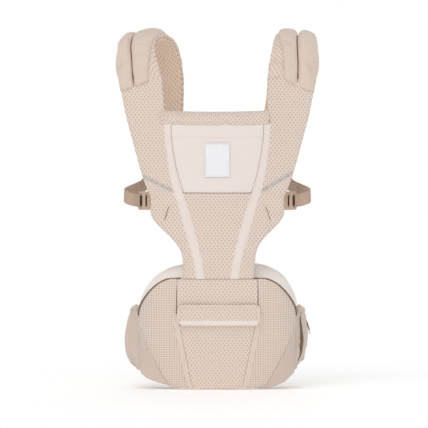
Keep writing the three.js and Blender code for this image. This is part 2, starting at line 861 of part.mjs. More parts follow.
function addWaistBuckle() {
  const z = 104;
  const inner = 123.5;
  const half = WAIST_WEBBING / 2;
  const { socket, plug, socketLength, plugLength } = buckleParts({
    width: 50,
    length: 74,
    thick: 14,
    slot: 40,
    tongueThick: 5.5,
  });
  const y = inner + 3.4 + 7;
  const place = (geometry) => geometry.rotateX(Math.PI / 2).translate(0, y, z);
  // The button stands 2 mm proud of the socket and has 2 mm of travel in its recess.
  const buttonAt = socketLength * 0.36;
  const recess = plate(13.2, 21.2, 6, 6).translate(buttonAt, 0, 7.2);
  const button = plate(12, 20, 5.4, 2.6).translate(buttonAt, 0, 7.65);
  const face = (geometry) => geometry.rotateX(Math.PI);
  add("waist_buckle_socket", place(face(cut(socket, recess))), plastic);
  add("waist_safety_button", place(face(button)), plastic);
  add("waist_buckle_plug", place(face(plug)), plastic);
  const left = box(-105.6, -plugLength - 2, inner, inner + WEBBING_THICK, z - half, z + half);
  add("left_waist_webbing", left, webbing);
  const right = box(socketLength + GAP, 105.6, y - 1, y + 1, z - half, z + half);
  add("right_waist_webbing", right, webbing);
  const tail = box(-96, -plugLength - 6, inner - 3, inner - 1, z - half, z + half);
  add("waist_webbing_tail", tail, webbing);
  const keeper = cut(
    box(-76, -66, inner - 4.6, inner + 3.1, z - half - 3, z + half + 3),
    box(-90, -50, inner - 3.4, inner + 2.4, z - half - 1, z + half + 1),
  );
  add("webbing_keeper", keeper, elastic);
}

addHipSeat();
addBody();
addHeadSupport();
for (const side of [-1, 1]) {
  addStrap(side);
  addBeltWing(side);
}
addChestStrap();
addZipPull();
addWaistBuckle();

export default carrier;
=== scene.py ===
"""Looks of the soft baby carrier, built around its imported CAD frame.

Shapes are worked out in millimetres in the CAD frame (+X the viewer's right, -Y the front,
+Z up) and written to the meshes in metres. `side` is -1 for the left and +1 for the right.
"""
import json
import math

import bpy
import numpy as np
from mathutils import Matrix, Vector

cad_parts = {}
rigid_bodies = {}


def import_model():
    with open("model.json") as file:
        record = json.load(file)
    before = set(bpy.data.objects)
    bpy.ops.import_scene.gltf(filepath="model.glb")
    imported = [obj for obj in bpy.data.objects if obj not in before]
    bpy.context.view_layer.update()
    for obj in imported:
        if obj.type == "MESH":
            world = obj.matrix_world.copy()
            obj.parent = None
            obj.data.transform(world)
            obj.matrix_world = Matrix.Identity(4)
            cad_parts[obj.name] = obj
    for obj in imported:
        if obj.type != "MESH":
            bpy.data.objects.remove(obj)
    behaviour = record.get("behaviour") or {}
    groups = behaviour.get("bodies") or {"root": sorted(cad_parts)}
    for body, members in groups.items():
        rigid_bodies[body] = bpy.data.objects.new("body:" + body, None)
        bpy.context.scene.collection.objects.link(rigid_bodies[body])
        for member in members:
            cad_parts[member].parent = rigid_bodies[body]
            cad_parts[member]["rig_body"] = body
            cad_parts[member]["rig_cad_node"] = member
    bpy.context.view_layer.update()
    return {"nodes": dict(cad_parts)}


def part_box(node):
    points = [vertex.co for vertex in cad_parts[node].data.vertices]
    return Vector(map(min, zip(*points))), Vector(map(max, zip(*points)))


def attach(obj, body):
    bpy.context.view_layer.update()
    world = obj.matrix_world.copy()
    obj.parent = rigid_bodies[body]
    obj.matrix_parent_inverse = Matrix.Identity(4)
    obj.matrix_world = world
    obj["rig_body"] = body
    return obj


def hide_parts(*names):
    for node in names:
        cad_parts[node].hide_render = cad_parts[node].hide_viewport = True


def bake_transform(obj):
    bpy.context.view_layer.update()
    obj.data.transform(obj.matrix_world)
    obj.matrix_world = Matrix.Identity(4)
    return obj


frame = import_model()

MM = 0.001
SIDES = {-1: "left", 1: "right"}

# Heights and depths shared with the CAD part, mm.
SEAM_Z = 216.0  # the body panel is sewn to the seat here
HEAD_FOLD_Z = 383.0
HEAD_TOP_Z = 509.0
ROLL_Z = 526.0
STRAP_BASE_Z = 593.0
SHOULDER_Y = -42.0  # the seat's front meets the belt wings here
SEAT_BACK_Y = 24.0
WEBBING_HALF = 12.5
WAIST_HALF = 19.0

SQUARENESS = 0.75  # of the seat in plan: 1 would be an ellipse, 0 a rectangle
STITCH_LIFT = 0.1
SIMULATED_FRAMES = 20
RUNAWAY = 200.0  # a simulated point that moves farther than this is left where it was
FILLING = {  # cloth settings of a padded piece
    "quality": 5, "mass": 0.15, "tension_stiffness": 20, "compression_stiffness": 20,
    "shear_stiffness": 8, "bending_stiffness": 0.4, "air_damping": 3, "use_pressure": True,
    "vertex_group_mass": "seams",
}


# ---------------------------------------------------------------- curves
def curve(pairs):
    """A smooth function through a few [position, value] pairs."""
    xs, vs = np.array(pairs, float).T
    n = len(xs)
    lo, hi = np.maximum(np.arange(n) - 1, 0), np.minimum(np.arange(n) + 1, n - 1)
    slope = (vs[hi] - vs[lo]) / (xs[hi] - xs[lo])

    def at(t):
        t = np.clip(t, xs[0], xs[-1])
        i = np.clip(np.searchsorted(xs, t, side="right") - 1, 0, n - 2)
        h = xs[i + 1] - xs[i]
        s = (t - xs[i]) / h
        rise = s * s * (3 - 2 * s)
        bow = slope[i] * s * (1 - s) ** 2 - slope[i + 1] * s * s * (1 - s)
        return vs[i] + (vs[i + 1] - vs[i]) * rise + h * bow

    return at


def run_of(line):
    """Distance along a line at each of its points."""
    return np.concatenate([[0], np.cumsum(np.linalg.norm(np.diff(line, axis=0), axis=1))])


def track(rows):
    """Smooth columns along rows that start with x, y, z: a function of 0 to 1."""
    rows = np.array(rows, float)
    run = run_of(rows[:, :3])
    columns = [curve(list(zip(run / run[-1], column))) for column in rows.T]
    return lambda t: [column(t) for column in columns]


def resample(line, pitch):
    """Evenly spaced points along a line, each in the middle of its step."""
    line = np.asarray(line, float)
    run = run_of(line)
    count = max(int(run[-1] / pitch), 2)
    spots = (np.arange(count) + 0.5) / count * run[-1]
    return np.stack([np.interp(spots, run, column) for column in line.T], axis=1)


def stack(x, y, z):
    return np.stack(np.broadcast_arrays(x, y, z), axis=-1).astype(float)


def unit(v):
    return v / np.maximum(np.linalg.norm(v, axis=-1, keepdims=True), 1e-9)


def blend_step(a, b, t):
    """A smooth step from 0 at a to 1 at b."""
    k = np.clip((t - a) / (b - a), 0, 1)
    return k * k * (3 - 2 * k)


def hill(t, middle, width):
    """A soft bump of height 1."""
    return np.exp(-(((t - middle) / width) ** 2))


def quarter(distance, radius):
    """A rounded edge: 0 at the edge, 1 from `radius` inwards."""
    k = np.clip(distance / max(radius, 0.2), 0, 1)
    return np.sqrt(np.maximum(1 - (1 - k) ** 2, 0))


def bend(value, power=SQUARENESS):
    """The value raised to a power with its sign kept."""
    return np.sign(value) * np.abs(value) ** power


def ordered(side, inner, outer):
    """An inner and an outer value in the order of rising x."""
    return (outer, inner) if side < 0 else (inner, outer)


def outward(side, u):
    """Share of the way from the inner edge to the outer one, from the share along x."""
    return 1 - u if side < 0 else u


def mirrored(side, inner, outer):
    """The left(z) and right(z) edges of a piece on one side, from its distances in x."""
    return ordered(side, lambda z: side * inner(z), lambda z: side * outer(z))


def both_sides(half):
    """The left(z) and right(z) edges of a piece in the middle, from its half width."""
    return (lambda z: -half(z)), half


def ripple(seed, wave, waves=7):
    """Soft irregular waves from -1 to 1, about `wave` millimetres long."""
    rng = np.random.default_rng(seed)
    turn = rng.uniform(0, 2 * np.pi, waves)
    size = wave * rng.uniform(0.7, 1.6, waves)
    start = rng.uniform(0, 2 * np.pi, waves)

    def at(a, b):
        total = 0
        for k in range(waves):
            along = a * np.cos(turn[k]) + b * np.sin(turn[k])
            total = total + np.sin(2 * np.pi * along / size[k] + start[k])
        return total / waves**0.5 / 1.4

    return at


soft_wave = ripple(3, 60)
small_wave = ripple(5, 26)


def groove(x, z, line, width, depth):
    """Depth at x, z of a sewn channel along a polyline of (x, z) corners."""
    near = 1e9
    for (x0, z0), (x1, z1) in zip(line, line[1:]):
        dx, dz = x1 - x0, z1 - z0
        t = np.clip(((x - x0) * dx + (z - z0) * dz) / (dx * dx + dz * dz), 0, 1)
        near = np.minimum(near, np.hypot(x - x0 - t * dx, z - z0 - t * dz))
    return depth * hill(near, 0, width)


# ---------------------------------------------------------------- meshes
def linked(name, data):
    """A new object in the scene."""
    obj = bpy.data.objects.new(name, data)
    bpy.context.scene.collection.objects.link(obj)
    return obj


def mesh_object(name, points, faces, materials, cloth=None, zones=None):
    """A smooth mesh; `cloth` is each point's place in the weave, `zones` each face's material."""
    mesh = bpy.data.meshes.new(name)
    mesh.from_pydata((np.asarray(points) * MM).tolist(), [], [list(map(int, f)) for f in faces])
    if cloth is not None:
        attribute = mesh.attributes.new("cloth", "FLOAT_VECTOR", "POINT")
        flat = np.column_stack([cloth, np.zeros(len(cloth))])
        attribute.data.foreach_set("vector", flat.astype(np.float32).ravel())
    for material in materials:
        mesh.materials.append(material)
    if zones is not None:
        mesh.polygons.foreach_set("material_index", np.asarray(zones, np.int32))
    mesh.polygons.foreach_set("use_smooth", np.ones(len(mesh.polygons), bool))
    mesh.update()
    return linked(name, mesh)


def settle(obj, body, nodes=()):
    """The piece moves with a CAD body, if one is named, and stands for these CAD nodes."""
    if body:
        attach(obj, body)
    if nodes:
        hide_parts(*nodes)
    return obj


def cloth_sheet(pad):
    """Work out the flat width and length of the middle surface a panel was cut to; nothing uses
    them.
    """
    p = pad.middle * MM
    width = float(Pad.lengths(p, 1)[:, -1].max())
    length = float(Pad.lengths(p, 0)[-1].max())


def inflate(points, faces, pinned, pressure=2.5, slack=0.03, cap=5.0):
    """How far each point of a closed form moves when it is filled like a cushion, mm.

    The pinned points are its sewn seams. `slack` is the extra cloth between them and `cap` the
    farthest a point may move.
    """
    points = np.asarray(points, float)
    scene = bpy.context.scene
    obj = mesh_object("filling", points, faces, [])
    group = obj.vertex_groups.new(name="seams")
    group.add([int(k) for k in np.flatnonzero(pinned)], 1.0, "REPLACE")
    cloth = obj.modifiers.new("cloth", "CLOTH")
    for key, value in FILLING.items():
        setattr(cloth.settings, key, value)
    cloth.settings.uniform_pressure_force = pressure
    cloth.settings.shrink_min = -slack
    cloth.settings.effector_weights.gravity = 0
    cloth.collision_settings.use_collision = False
    cloth.point_cache.frame_start = 1
    cloth.point_cache.frame_end = SIMULATED_FRAMES
    for frame_number in range(1, SIMULATED_FRAMES + 1):
        scene.frame_set(frame_number)
    filled = obj.evaluated_get(bpy.context.evaluated_depsgraph_get()).data
    moved = np.empty(len(points) * 3, np.float32)
    filled.vertices.foreach_get("co", moved)
    mesh = obj.data
    bpy.data.objects.remove(obj)
    bpy.data.meshes.remove(mesh)
    scene.frame_set(1)
    move = moved.reshape(-1, 3).astype(float) / MM - points
    far = np.linalg.norm(move, axis=1, keepdims=True)
    return move * np.minimum(1, cap / np.maximum(far, 1e-6)) * (far < RUNAWAY)


class Pad:
    """A closed padded piece between four sewn edges.

    `mid` maps u, v to the middle surface; the face looks along du x dv. `front` and `back` are
    the padding on each side, a number or a function of u, v, x and z, `edge` is the rounding at
    low u, high u, low v and high v, and weave(u, v, p) places the points p in the weave.
    """

    def __init__(self, mid, size, front, back, edge, ease=0.5, weave=None):
        self.u, self.v = (
            self.spaced(n, ease) if np.isscalar(n) else np.asarray(n, float) for n in size
        )
        u, v = np.meshgrid(self.u, self.v)
        p = self.middle = mid(u, v)
        self.normal = unit(np.cross(np.gradient(p, axis=1), np.gradient(p, axis=0)))
        across, along = self.lengths(p, 1), self.lengths(p, 0)
        edge = (edge,) * 4 if np.isscalar(edge) else edge
        swell = quarter(across, edge[0]) * quarter(across[:, -1:] - across, edge[1])
        swell = swell * quarter(along, edge[2]) * quarter(along[-1:] - along, edge[3])
        place = (u, v, p[..., 0], p[..., 2])
        depth = [f(*place) if callable(f) else f for f in (front, back)]
        self.front = p + self.normal * (depth[0] * swell)[..., None]
        self.back = p - self.normal * (depth[1] * swell)[..., None]
        drawn = weave(u, v, p) if weave else (across - across[:, -1:] / 2, along)
        self.weave = np.stack(np.broadcast_arrays(*drawn), axis=-1)

    @staticmethod
    def spaced(n, ease):
        """Shares from 0 to 1, drawn closer together near the ends."""
        k = np.linspace(0, 1, n + 1)
        return (1 - ease) * k + ease * (0.5 - 0.5 * np.cos(np.pi * k))

    @staticmethod
    def lengths(p, axis):
        steps = np.linalg.norm(np.diff(p, axis=axis), axis=-1)
        total = np.cumsum(steps, axis=axis)
        return np.concatenate([np.zeros_like(np.take(total, [0], axis)), total], axis=axis)

    @staticmethod
    def weights(spots, places):
        """How much each of the places counts at each spot, for straight-line steps between."""
        shares = [np.interp(spots, places, share) for share in np.eye(len(places))]
        return np.stack(shares, axis=-1)

    def at(self, u, v, lift=STITCH_LIFT):
        """Points and outward directions of the front face."""
        u, v = np.broadcast_arrays(u, v)
        wide, tall = self.weights(u, self.u), self.weights(v, self.v)
        spot, out = (
            np.einsum("kj,jic,ki->kc", tall, grid, wide, optimize=True)
            for grid in (self.front, self.normal)
        )
        return spot + out * lift, unit(out)

    @staticmethod
    def closed(front, back):
        """Points, faces and the two index grids of the closed form between two faces."""
        rows, columns = front.shape[:2]
        top = np.arange(rows * columns).reshape(rows, columns)
        under = top.copy()
        inner = (rows - 2) * (columns - 2)
        under[1:-1, 1:-1] = rows * columns + np.arange(inner).reshape(rows - 2, columns - 2)
        points = np.concatenate([front.reshape(-1, 3), back[1:-1, 1:-1].reshape(-1, 3)])
        quads = []
        for grid, order in ((top, (0, 1, 2, 3)), (under, (0, 3, 2, 1))):
            corners = [grid[:-1, :-1], grid[:-1, 1:], grid[1:, 1:], grid[1:, :-1]]
            quads.append(np.stack([corners[k].ravel() for k in order], axis=1))
        return points, np.concatenate(quads), top, under

    def fill(self, size, seams=None, faces=(True, True), **filling):
        """Fill the pad like a cushion: simulate a coarser copy and follow its movement.

        seams(u, v) marks the points that stay sewn down besides the four edges, and `faces`
        says whether the front and the back may move.
        """
        pick = [
            np.unique(np.linspace(0, n - 1, k + 1).round().astype(int))
            for n, k in zip(self.front.shape[1::-1], size)
        ]
        cell = np.ix_(pick[1], pick[0])
        points, quads, top, under = self.closed(self.front[cell], self.back[cell])
        pinned = np.zeros(len(points), bool)
        pinned[top[[0, -1]]] = pinned[top[:, [0, -1]]] = True
        if seams:
            sewn = seams(*np.meshgrid(self.u[pick[0]], self.v[pick[1]]))
            pinned[top[sewn]] = pinned[under[sewn]] = True
        move = inflate(points, quads, pinned, **filling)
        for face, grid, chosen in ((self.front, top, faces[0]), (self.back, under, faces[1])):
            if chosen:
                face += self.spread(move[grid], pick, face.shape)

    @staticmethod
    def spread(coarse, pick, shape):
        """A coarse grid of movements carried over to the fine grid."""
        wide, tall = (Pad.weights(np.arange(n), k) for n, k in zip(shape[1::-1], pick))
        fine = np.einsum("nj,jkc,mk->nmc", tall, coarse, wide, optimize=True)
        # Round off the steps between the coarse points.
        for _ in range(2):
            fine[1:-1] = (fine[:-2] + 2 * fine[1:-1] + fine[2:]) / 4
            fine[:, 1:-1] = (fine[:, :-2] + 2 * fine[:, 1:-1] + fine[:, 2:]) / 4
        return fine

    def build(self, name, materials, zones=None):
        """The mesh; zones(u, v, is_front) picks a material for each face."""
        points, quads, *_ = self.closed(self.front, self.back)
        cloth = [self.weave.reshape(-1, 2), self.weave[1:-1, 1:-1].reshape(-1, 2)]
        index = None
        if zones:
            centres = [(k[:-1] + k[1:]) / 2 for k in (self.u, self.v)]
            u, v = np.meshgrid(*centres)
            index = np.concatenate([zones(u, v, True).ravel(), zones(u, v, False).ravel()])
        materials = materials if isinstance(materials, list) else [materials]
        return mesh_object(name, points, quads, materials, np.concatenate(cloth), index)


def ring_quads(rows, count):
    """The index grid of stacked rings and the quads between them."""
    at = np.arange(rows * count).reshape(rows, count)
    turned = np.roll(at, -1, axis=1)
    return at, np.stack([at[:-1], turned[:-1], turned[1:], at[1:]], axis=-1).reshape(-1, 4)


def tube(name, line, radius, material, sides=10, squash=1.0, up=(0, 0, 1)):
    """A round or flattened cord along a line of points, with closed ends."""
    line = np.asarray(line, float)
    n = len(line)
    ahead = unit(np.gradient(line, axis=0))
    wide = unit(np.cross(ahead, np.array(up, float)))
    tall = np.cross(wide, ahead)
    angle = np.arange(sides) / sides * 2 * np.pi
    from_end = np.minimum(np.arange(n), np.arange(n)[::-1])
    girth = radius * quarter(from_end + 0.35, 2.0)
    rings = line[:, None] + girth[:, None, None] * (
        np.cos(angle)[None, :, None] * wide[:, None] * squash
        + np.sin(angle)[None, :, None] * tall[:, None]
    )
    at, quads = ring_quads(n, sides)
    faces = quads.tolist() + [at[0][::-1].tolist(), at[-1].tolist()]
    around = np.tile(np.sin(angle) * np.mean(radius), n)
    cloth = np.stack([around, np.repeat(run_of(line), sides)], axis=1)
    return mesh_object(name, rings.reshape(-1, 3), faces, [material], cloth)


# Each ring of a stitch: place along it as a share of its length, then girth and height as
# shares of its radius.
STITCH = np.array([[-0.5, 0.35, -0.9], [-0.28, 1, 0.25], [0.28, 1, 0.25], [0.5, 0.35, -0.9]])


def sew(name, body, lines, material, pitch=3.3, length=2.3, radius=0.42):
    """Rows of stitches on a body. Each line is (points, outward directions) on a face."""
    sides = 6
    count = len(STITCH) * sides
    angle = np.arange(sides) / sides * 2 * np.pi
    place, girth, height = (column[:, None] for column in STITCH.T)
    offsets = (place * length + 0 * angle, (height + girth * np.sin(angle)) * radius,
               girth * np.cos(angle) * radius)
    points = []
    for line, out in lines:
        both = resample(np.concatenate([line, out], axis=1), pitch)
        spot, up = both[:, :3], unit(both[:, 3:])
        ahead = unit(np.gradient(spot, axis=0))
        across = unit(np.cross(up, ahead))
        axes = zip((ahead, up, across), offsets)
        points.append(spot[:, None, None] + sum(a[:, None, None] * k[..., None] for a, k in axes))
    points = np.concatenate(points).reshape(-1, 3)
    _, quads = ring_quads(len(STITCH), sides)
    one = quads[:, ::-1].tolist() + [list(range(sides)), list(range(count))[: -sides - 1 : -1]]
    faces = [[base + i for i in face] for base in range(0, len(points), count) for face in one]
    settle(mesh_object(name, points, faces, [material]), body)


# ---------------------------------------------------------------- materials
def srgb(*values):
    linear = [
        v / 255 / 12.92 if v <= 10 else ((v / 255 + 0.055) / 1.055) ** 2.4 for v in values
    ]
    return (*linear, 1.0)


def tint(colour, share):
    return (*[c * share for c in colour[:3]], 1.0)


class Cloth:
    """A procedural fabric drawn in the millimetres of the piece's own weave."""

    def __init__(self, name, roughness=0.9, sheen=0.25, gloss=0.25):
        self.material = bpy.data.materials.new(name)
        self.material.use_nodes = True
        self.tree = self.material.node_tree
        self.shader = self.tree.nodes["Principled BSDF"]
        looks = {"Roughness": roughness, "Sheen Weight": sheen, "Sheen Roughness": 0.5,
                 "Specular IOR Level": gloss}
        self.connect(self.shader, looks)
        self.place = self.add("ShaderNodeAttribute", attribute_name="cloth").outputs["Vector"]

    def add(self, kind, inputs=None, **settings):
        """A new node; an input is a value or another node's output."""
        node = self.tree.nodes.new(kind)
        for key, value in settings.items():
            setattr(node, key, value)
        self.connect(node, inputs or {})
        return node

    def connect(self, node, inputs):
        for key, value in inputs.items():
            if isinstance(value, bpy.types.NodeSocket):
                self.tree.links.new(value, node.inputs[key])
            else:
                node.inputs[key].default_value = value

    def vector(self, operation, *values):
        node = self.add("ShaderNodeVectorMath", dict(enumerate(values)), operation=operation)
        return node.outputs["Value" if operation in ("LENGTH", "DOT_PRODUCT") else "Vector"]

    def math(self, operation, *values):
        node = self.add("ShaderNodeMath", dict(enumerate(values)), operation=operation)
        return node.outputs[0]

    def lattice(self, pitch, shift, round_holes):
        """Distance in mm to the nearest hole of a rectangular lattice."""
        p = self.vector("MULTIPLY", self.place, (1 / pitch[0], 1 / pitch[1], 0))
        p = self.vector("ADD", p, (shift, shift, 0))
        p = self.vector("FRACTION", p)
        p = self.vector("SUBTRACT", p, (0.5, 0.5, 0))
        if round_holes:
            return self.vector("LENGTH", self.vector("MULTIPLY", p, (*pitch, 0)))
        p = self.vector("ABSOLUTE", p)
        return self.vector("DOT_PRODUCT", p, (pitch[0] * 0.86, pitch[1] * 0.54, 0))

    def smooth(self, value, low, high, to=(0.0, 1.0)):
        inputs = {"Value": value, "From Min": low, "From Max": high, "To Min": to[0],
                  "To Max": to[1]}
        node = self.add("ShaderNodeMapRange", inputs, interpolation_type="SMOOTHSTEP")
        return node.outputs["Result"]

    def noise(self, scale, detail=2.0, vector=None):
        inputs = {"Vector": vector or self.place, "Scale": scale, "Detail": detail}
        return self.add("ShaderNodeTexNoise", inputs).outputs["Fac"]

    def mix(self, factor, a, b):
        return self.add("ShaderNodeMix", {0: factor, 6: a, 7: b}, data_type="RGBA").outputs[2]

    def drift(self, colour, scale, low, high, vector=None):
        """The colour with slow changes from a darker to a lighter tint."""
        return self.mix(self.noise(scale, 2.0, vector), tint(colour, low), tint(colour, high))

    def finish(self, colour, height, depth_mm):
        bump = self.add("ShaderNodeBump", {"Height": height, "Distance": depth_mm * MM})
        self.connect(self.shader, {"Base Color": colour, "Normal": bump.outputs["Normal"]})
        return self.material


def air_mesh(name, colour, pitch, hole, staggered=True, dark=0.7):
    """Spacer mesh: a knit face with rows of holes through to the layer below, darkened as painted
    shade in the holes.
    """
    cloth = Cloth(name, roughness=0.92, sheen=0.3)
    near = cloth.lattice(pitch, 0.0, not staggered)
    if staggered:
        near = cloth.math("MINIMUM", near, cloth.lattice(pitch, 0.5, False))
    solid = cloth.smooth(near, hole * 0.3, hole * 1.15)
    yarn = cloth.noise(1.6, 3.0)
    face = cloth.drift(colour, 0.012, 0.96, 1.05)
    face = cloth.mix(cloth.smooth(yarn, 0.35, 0.7), tint(colour, 0.95), face)
    # The layer seen through the holes, darkened and warmed by `dark`: painted shade.
    below = tuple(c * dark * k for c, k in zip(colour[:3], (1.0, 0.92, 0.83))) + (1.0,)
    height = cloth.math("ADD", solid, cloth.math("MULTIPLY", yarn, 0.25))
    return cloth.finish(cloth.mix(solid, below, face), height, 0.45)


def twill(name, colour, pitch=1.1, sheen=0.35, roughness=0.82):
    """Smooth diagonal weave."""
    cloth = Cloth(name, roughness=roughness, sheen=sheen)
    turn = {"Vector": cloth.place, "Rotation": (0, 0, math.radians(52))}
    turned = cloth.add("ShaderNodeMapping", turn).outputs["Vector"]
    rows = {"Vector": turned, "Scale": 1 / pitch / math.pi, "Distortion": 0.8, "Detail": 1.0}
    wave = cloth.add("ShaderNodeTexWave", rows).outputs["Fac"]
    face = cloth.drift(colour, 0.01, 0.965, 1.035)
    face = cloth.mix(cloth.smooth(wave, 0.1, 0.6), tint(colour, 0.94), face)
    height = cloth.math("ADD", wave, cloth.math("MULTIPLY", cloth.noise(0.5, 3.0), 0.6))
    return cloth.finish(face, height, 0.16)


def knit(name, colour):
    """Fine rib knit in staggered stitches."""
    cloth = Cloth(name, roughness=0.95, sheen=0.45)
    rows = [cloth.lattice((4.4, 4.6), shift, True) for shift in (0.0, 0.5)]
    near = cloth.math("MINIMUM", *rows)
    loop = cloth.math("SUBTRACT", 1.0, cloth.smooth(near, 0.4, 1.3))
    face = cloth.mix(loop, cloth.drift(colour, 0.015, 0.95, 1.04), tint(colour, 0.8))
    height = cloth.math("SUBTRACT", cloth.math("MULTIPLY", cloth.noise(2.2), 0.4), loop)
    return cloth.finish(face, height, 0.3)


def tape(name, colour, rib=1.7):
    """Woven webbing: ribs across, crossed by a fine chevron."""
    cloth = Cloth(name, roughness=0.62, sheen=0.2)
    parts = cloth.add("ShaderNodeSeparateXYZ", {"Vector": cloth.place}).outputs
    ribs, chevron = (
        cloth.math("SINE", cloth.math("MULTIPLY", parts[axis], 2 * math.pi / wave))
        for axis, wave in (("Y", rib), ("X", 3.1))
    )
    weave = cloth.math("MULTIPLY", ribs, cloth.smooth(chevron, -1.0, 1.0, (0.35, 1.0)))
    fuzz = cloth.noise(1.2, 3.0)
    face = cloth.mix(cloth.smooth(weave, -0.9, 0.5), tint(colour, 0.8), tint(colour, 1.03))
    face = cloth.mix(cloth.smooth(fuzz, 0.3, 0.75), tint(colour, 0.92), face)
    return cloth.finish(face, cloth.math("ADD", weave, fuzz), 0.18)


def moulded(name, colour):
    """Satin moulded plastic with a fine grain."""
    cloth = Cloth(name, roughness=0.42, sheen=0.0, gloss=0.5)
    place = cloth.add("ShaderNodeTexCoord").outputs["Object"]
    face = cloth.drift(colour, 30.0, 0.93, 1.05, place)
    return cloth.finish(face, cloth.noise(900.0, 2.0, place), 0.03)


MESH = air_mesh("air_mesh", srgb(231, 214, 202), (7.4, 10.2), 1.7, dark=0.68)
FINE_MESH = air_mesh("fine_mesh", srgb(229, 212, 200), (4.9, 4.7), 1.6, staggered=False, dark=0.64)
# The underside mesh's own tan, lightened as painted light to offset the shade inside the strap
# loops.
UNDER_MESH_PAINTED_LIGHT = air_mesh("under_mesh_with_painted_light", srgb(236, 214, 196), (7.6, 10.4), 1.7, dark=0.66)
CREAM = twill("cream_twill", srgb(241, 231, 224))
# The cream twill lightened for the seat's dome: painted light that offsets the dome's shade.
SEAT_CREAM_PAINTED_LIGHT = twill("seat_cream_twill_painted_light", srgb(255, 246, 239))
SEAM = twill("seam_twill", srgb(234, 217, 205), pitch=0.9)
BEIGE = twill("beige_twill", srgb(218, 199, 185))
BINDING = twill("binding_twill", srgb(243, 230, 222), pitch=0.9)
KNIT = knit("strap_knit", srgb(229, 210, 196))
LINING = twill("lining_cotton", srgb(219, 201, 186), pitch=0.7)
WEBBING = tape("webbing", srgb(199, 172, 152))
KEEPER = tape("keeper_elastic", srgb(143, 122, 105), rib=1.0)
PLASTIC = moulded("buckle_plastic", srgb(203, 176, 154))
REFLECTIVE = twill("reflective_tape", srgb(210, 207, 209), pitch=0.6, sheen=0.0, roughness=0.35)
LABEL = twill("label_cloth", srgb(252, 252, 254), pitch=0.6)
THREAD = twill("thread", srgb(232, 219, 209), pitch=0.5)
DARK_THREAD = twill("shadow_thread", srgb(196, 176, 160), pitch=0.5)
# Dark brown: the zip pull cord's own colour, and painted shade in the strap gaps, wing darts,
# pocket mouths and the right wing's crease.
DARK_CORD_AND_PAINTED_SHADE = twill("dark_cord_and_painted_shade", srgb(128, 106, 88), pitch=0.8)
# Near-black painted shade for the insides of the buckle slots.
PAINTED_SLOT_SHADE = twill("painted_slot_shade", srgb(70, 54, 43), pitch=0.8)


def ribbon(name, rows, side, half, steps, thick, material=WEBBING):
    """Webbing along rows of x, y, z and the direction of its width."""
    at = track([[side * r[0], r[1], r[2], side * r[3], r[4], r[5]] for r in rows])

    def mid(u, v):
        x, y, z, a, b, c = at(v)
        wide = unit(np.stack([a, b, c], -1))
        return stack(x, y, z) + wide * (half * (2 * u - 1))[..., None]

    return Pad(mid, (10, steps), thick, thick, 0.8, ease=0.2).build(name, material)


def webbing(node, body, rows, side, half, steps, thick=0.85):
    """A ribbon that stands for a CAD piece of webbing."""
    piece = ribbon(f"{node}_tape", rows, side, half, steps, thick)
    settle(piece, body, [node])


def level(start, end, y, z, count=5):
    """Rows of a ribbon that runs along x with its width upright."""
    return [[x, y, z, 0, 0, 1] for x in np.linspace(start, end, count)]


# ---------------------------------------------------------------- carrier body
WING_TOP = [
    [327, 121], [341, 129], [375, 130], [393, 138], [422, 148], [486, 166], [535, 179],
    [570, 186], [597, 191.5], [608, 192],
]
WING_EDGE = {
    -1: curve([[216, 67], [242, 66.5], [266, 69.5], [280, 76], [293, 86.5]] + WING_TOP),
    1: curve([[216, 71], [258, 73.5], [275, 77.5], [293, 88]] + WING_TOP),
}
WING_INNER = [
    [216, 37], [252, 43], [291, 54], [352, 71], [391, 83], [434, 92], [486, 99], [512, 100],
]
WING_INNER_TOP = {
    -1: [[545, 102.5], [597, 107], [608, 107]],
    1: [[545, 97], [597, 98.5], [608, 98.5]],
}
SEAM_TOP = {-1: 417, 1: 424}  # where the reflective seam meets each wing's outer edge
binding_outer = curve([
    [216, 41], [252, 47], [291, 58], [352, 75], [391, 87], [434, 96], [486, 103], [512, 104],
])
binding_inner = curve([
    [216, 24], [252, 28.5], [292, 38], [334, 49.5], [389, 67.5], [438, 81], [486, 88.5],
    [512, 89.5],
])
body_lean = curve([[216, -138], [300, -124], [390, -108], [510, -92], [600, -83]])


def body_front(x, z):
    """Depth of the body's face: it leans back and wraps towards the wearer at the sides."""
    straight = 94.0
    a = np.abs(x)
    bow = 16 * (np.minimum(a, straight) / 100) ** 2 + 0.3 * np.maximum(a - straight, 0)
    return body_lean(z) + bow


def facing(u, v, p):
    """Weave that hangs straight in the front view."""
    return p[..., 0], p[..., 2] * 1.02


class BodyPad(Pad):
    """A pad on the carrier body, from z0 to z1 and from x = left(z) to right(z)."""

    def __init__(self, left, right, z0, z1, depth, *padding, **options):
        def mid(u, v):
            z = z0 + (z1 - z0) * v
            x = left(z) * (1 - u) + right(z) * u
            return stack(x, body_front(x, z) + depth, z)

        super().__init__(mid, *padding, weave=facing, **options)
        self.shares = lambda x, z: ((x - left(z)) / (right(z) - left(z)), (z - z0) / (z1 - z0))

    def under(self, line, lift=STITCH_LIFT, pitch=2.0):
        """Points and outward directions of the face under a polyline of (x, z) corners."""
        return self.at(*self.shares(*resample(line, pitch).T), lift)


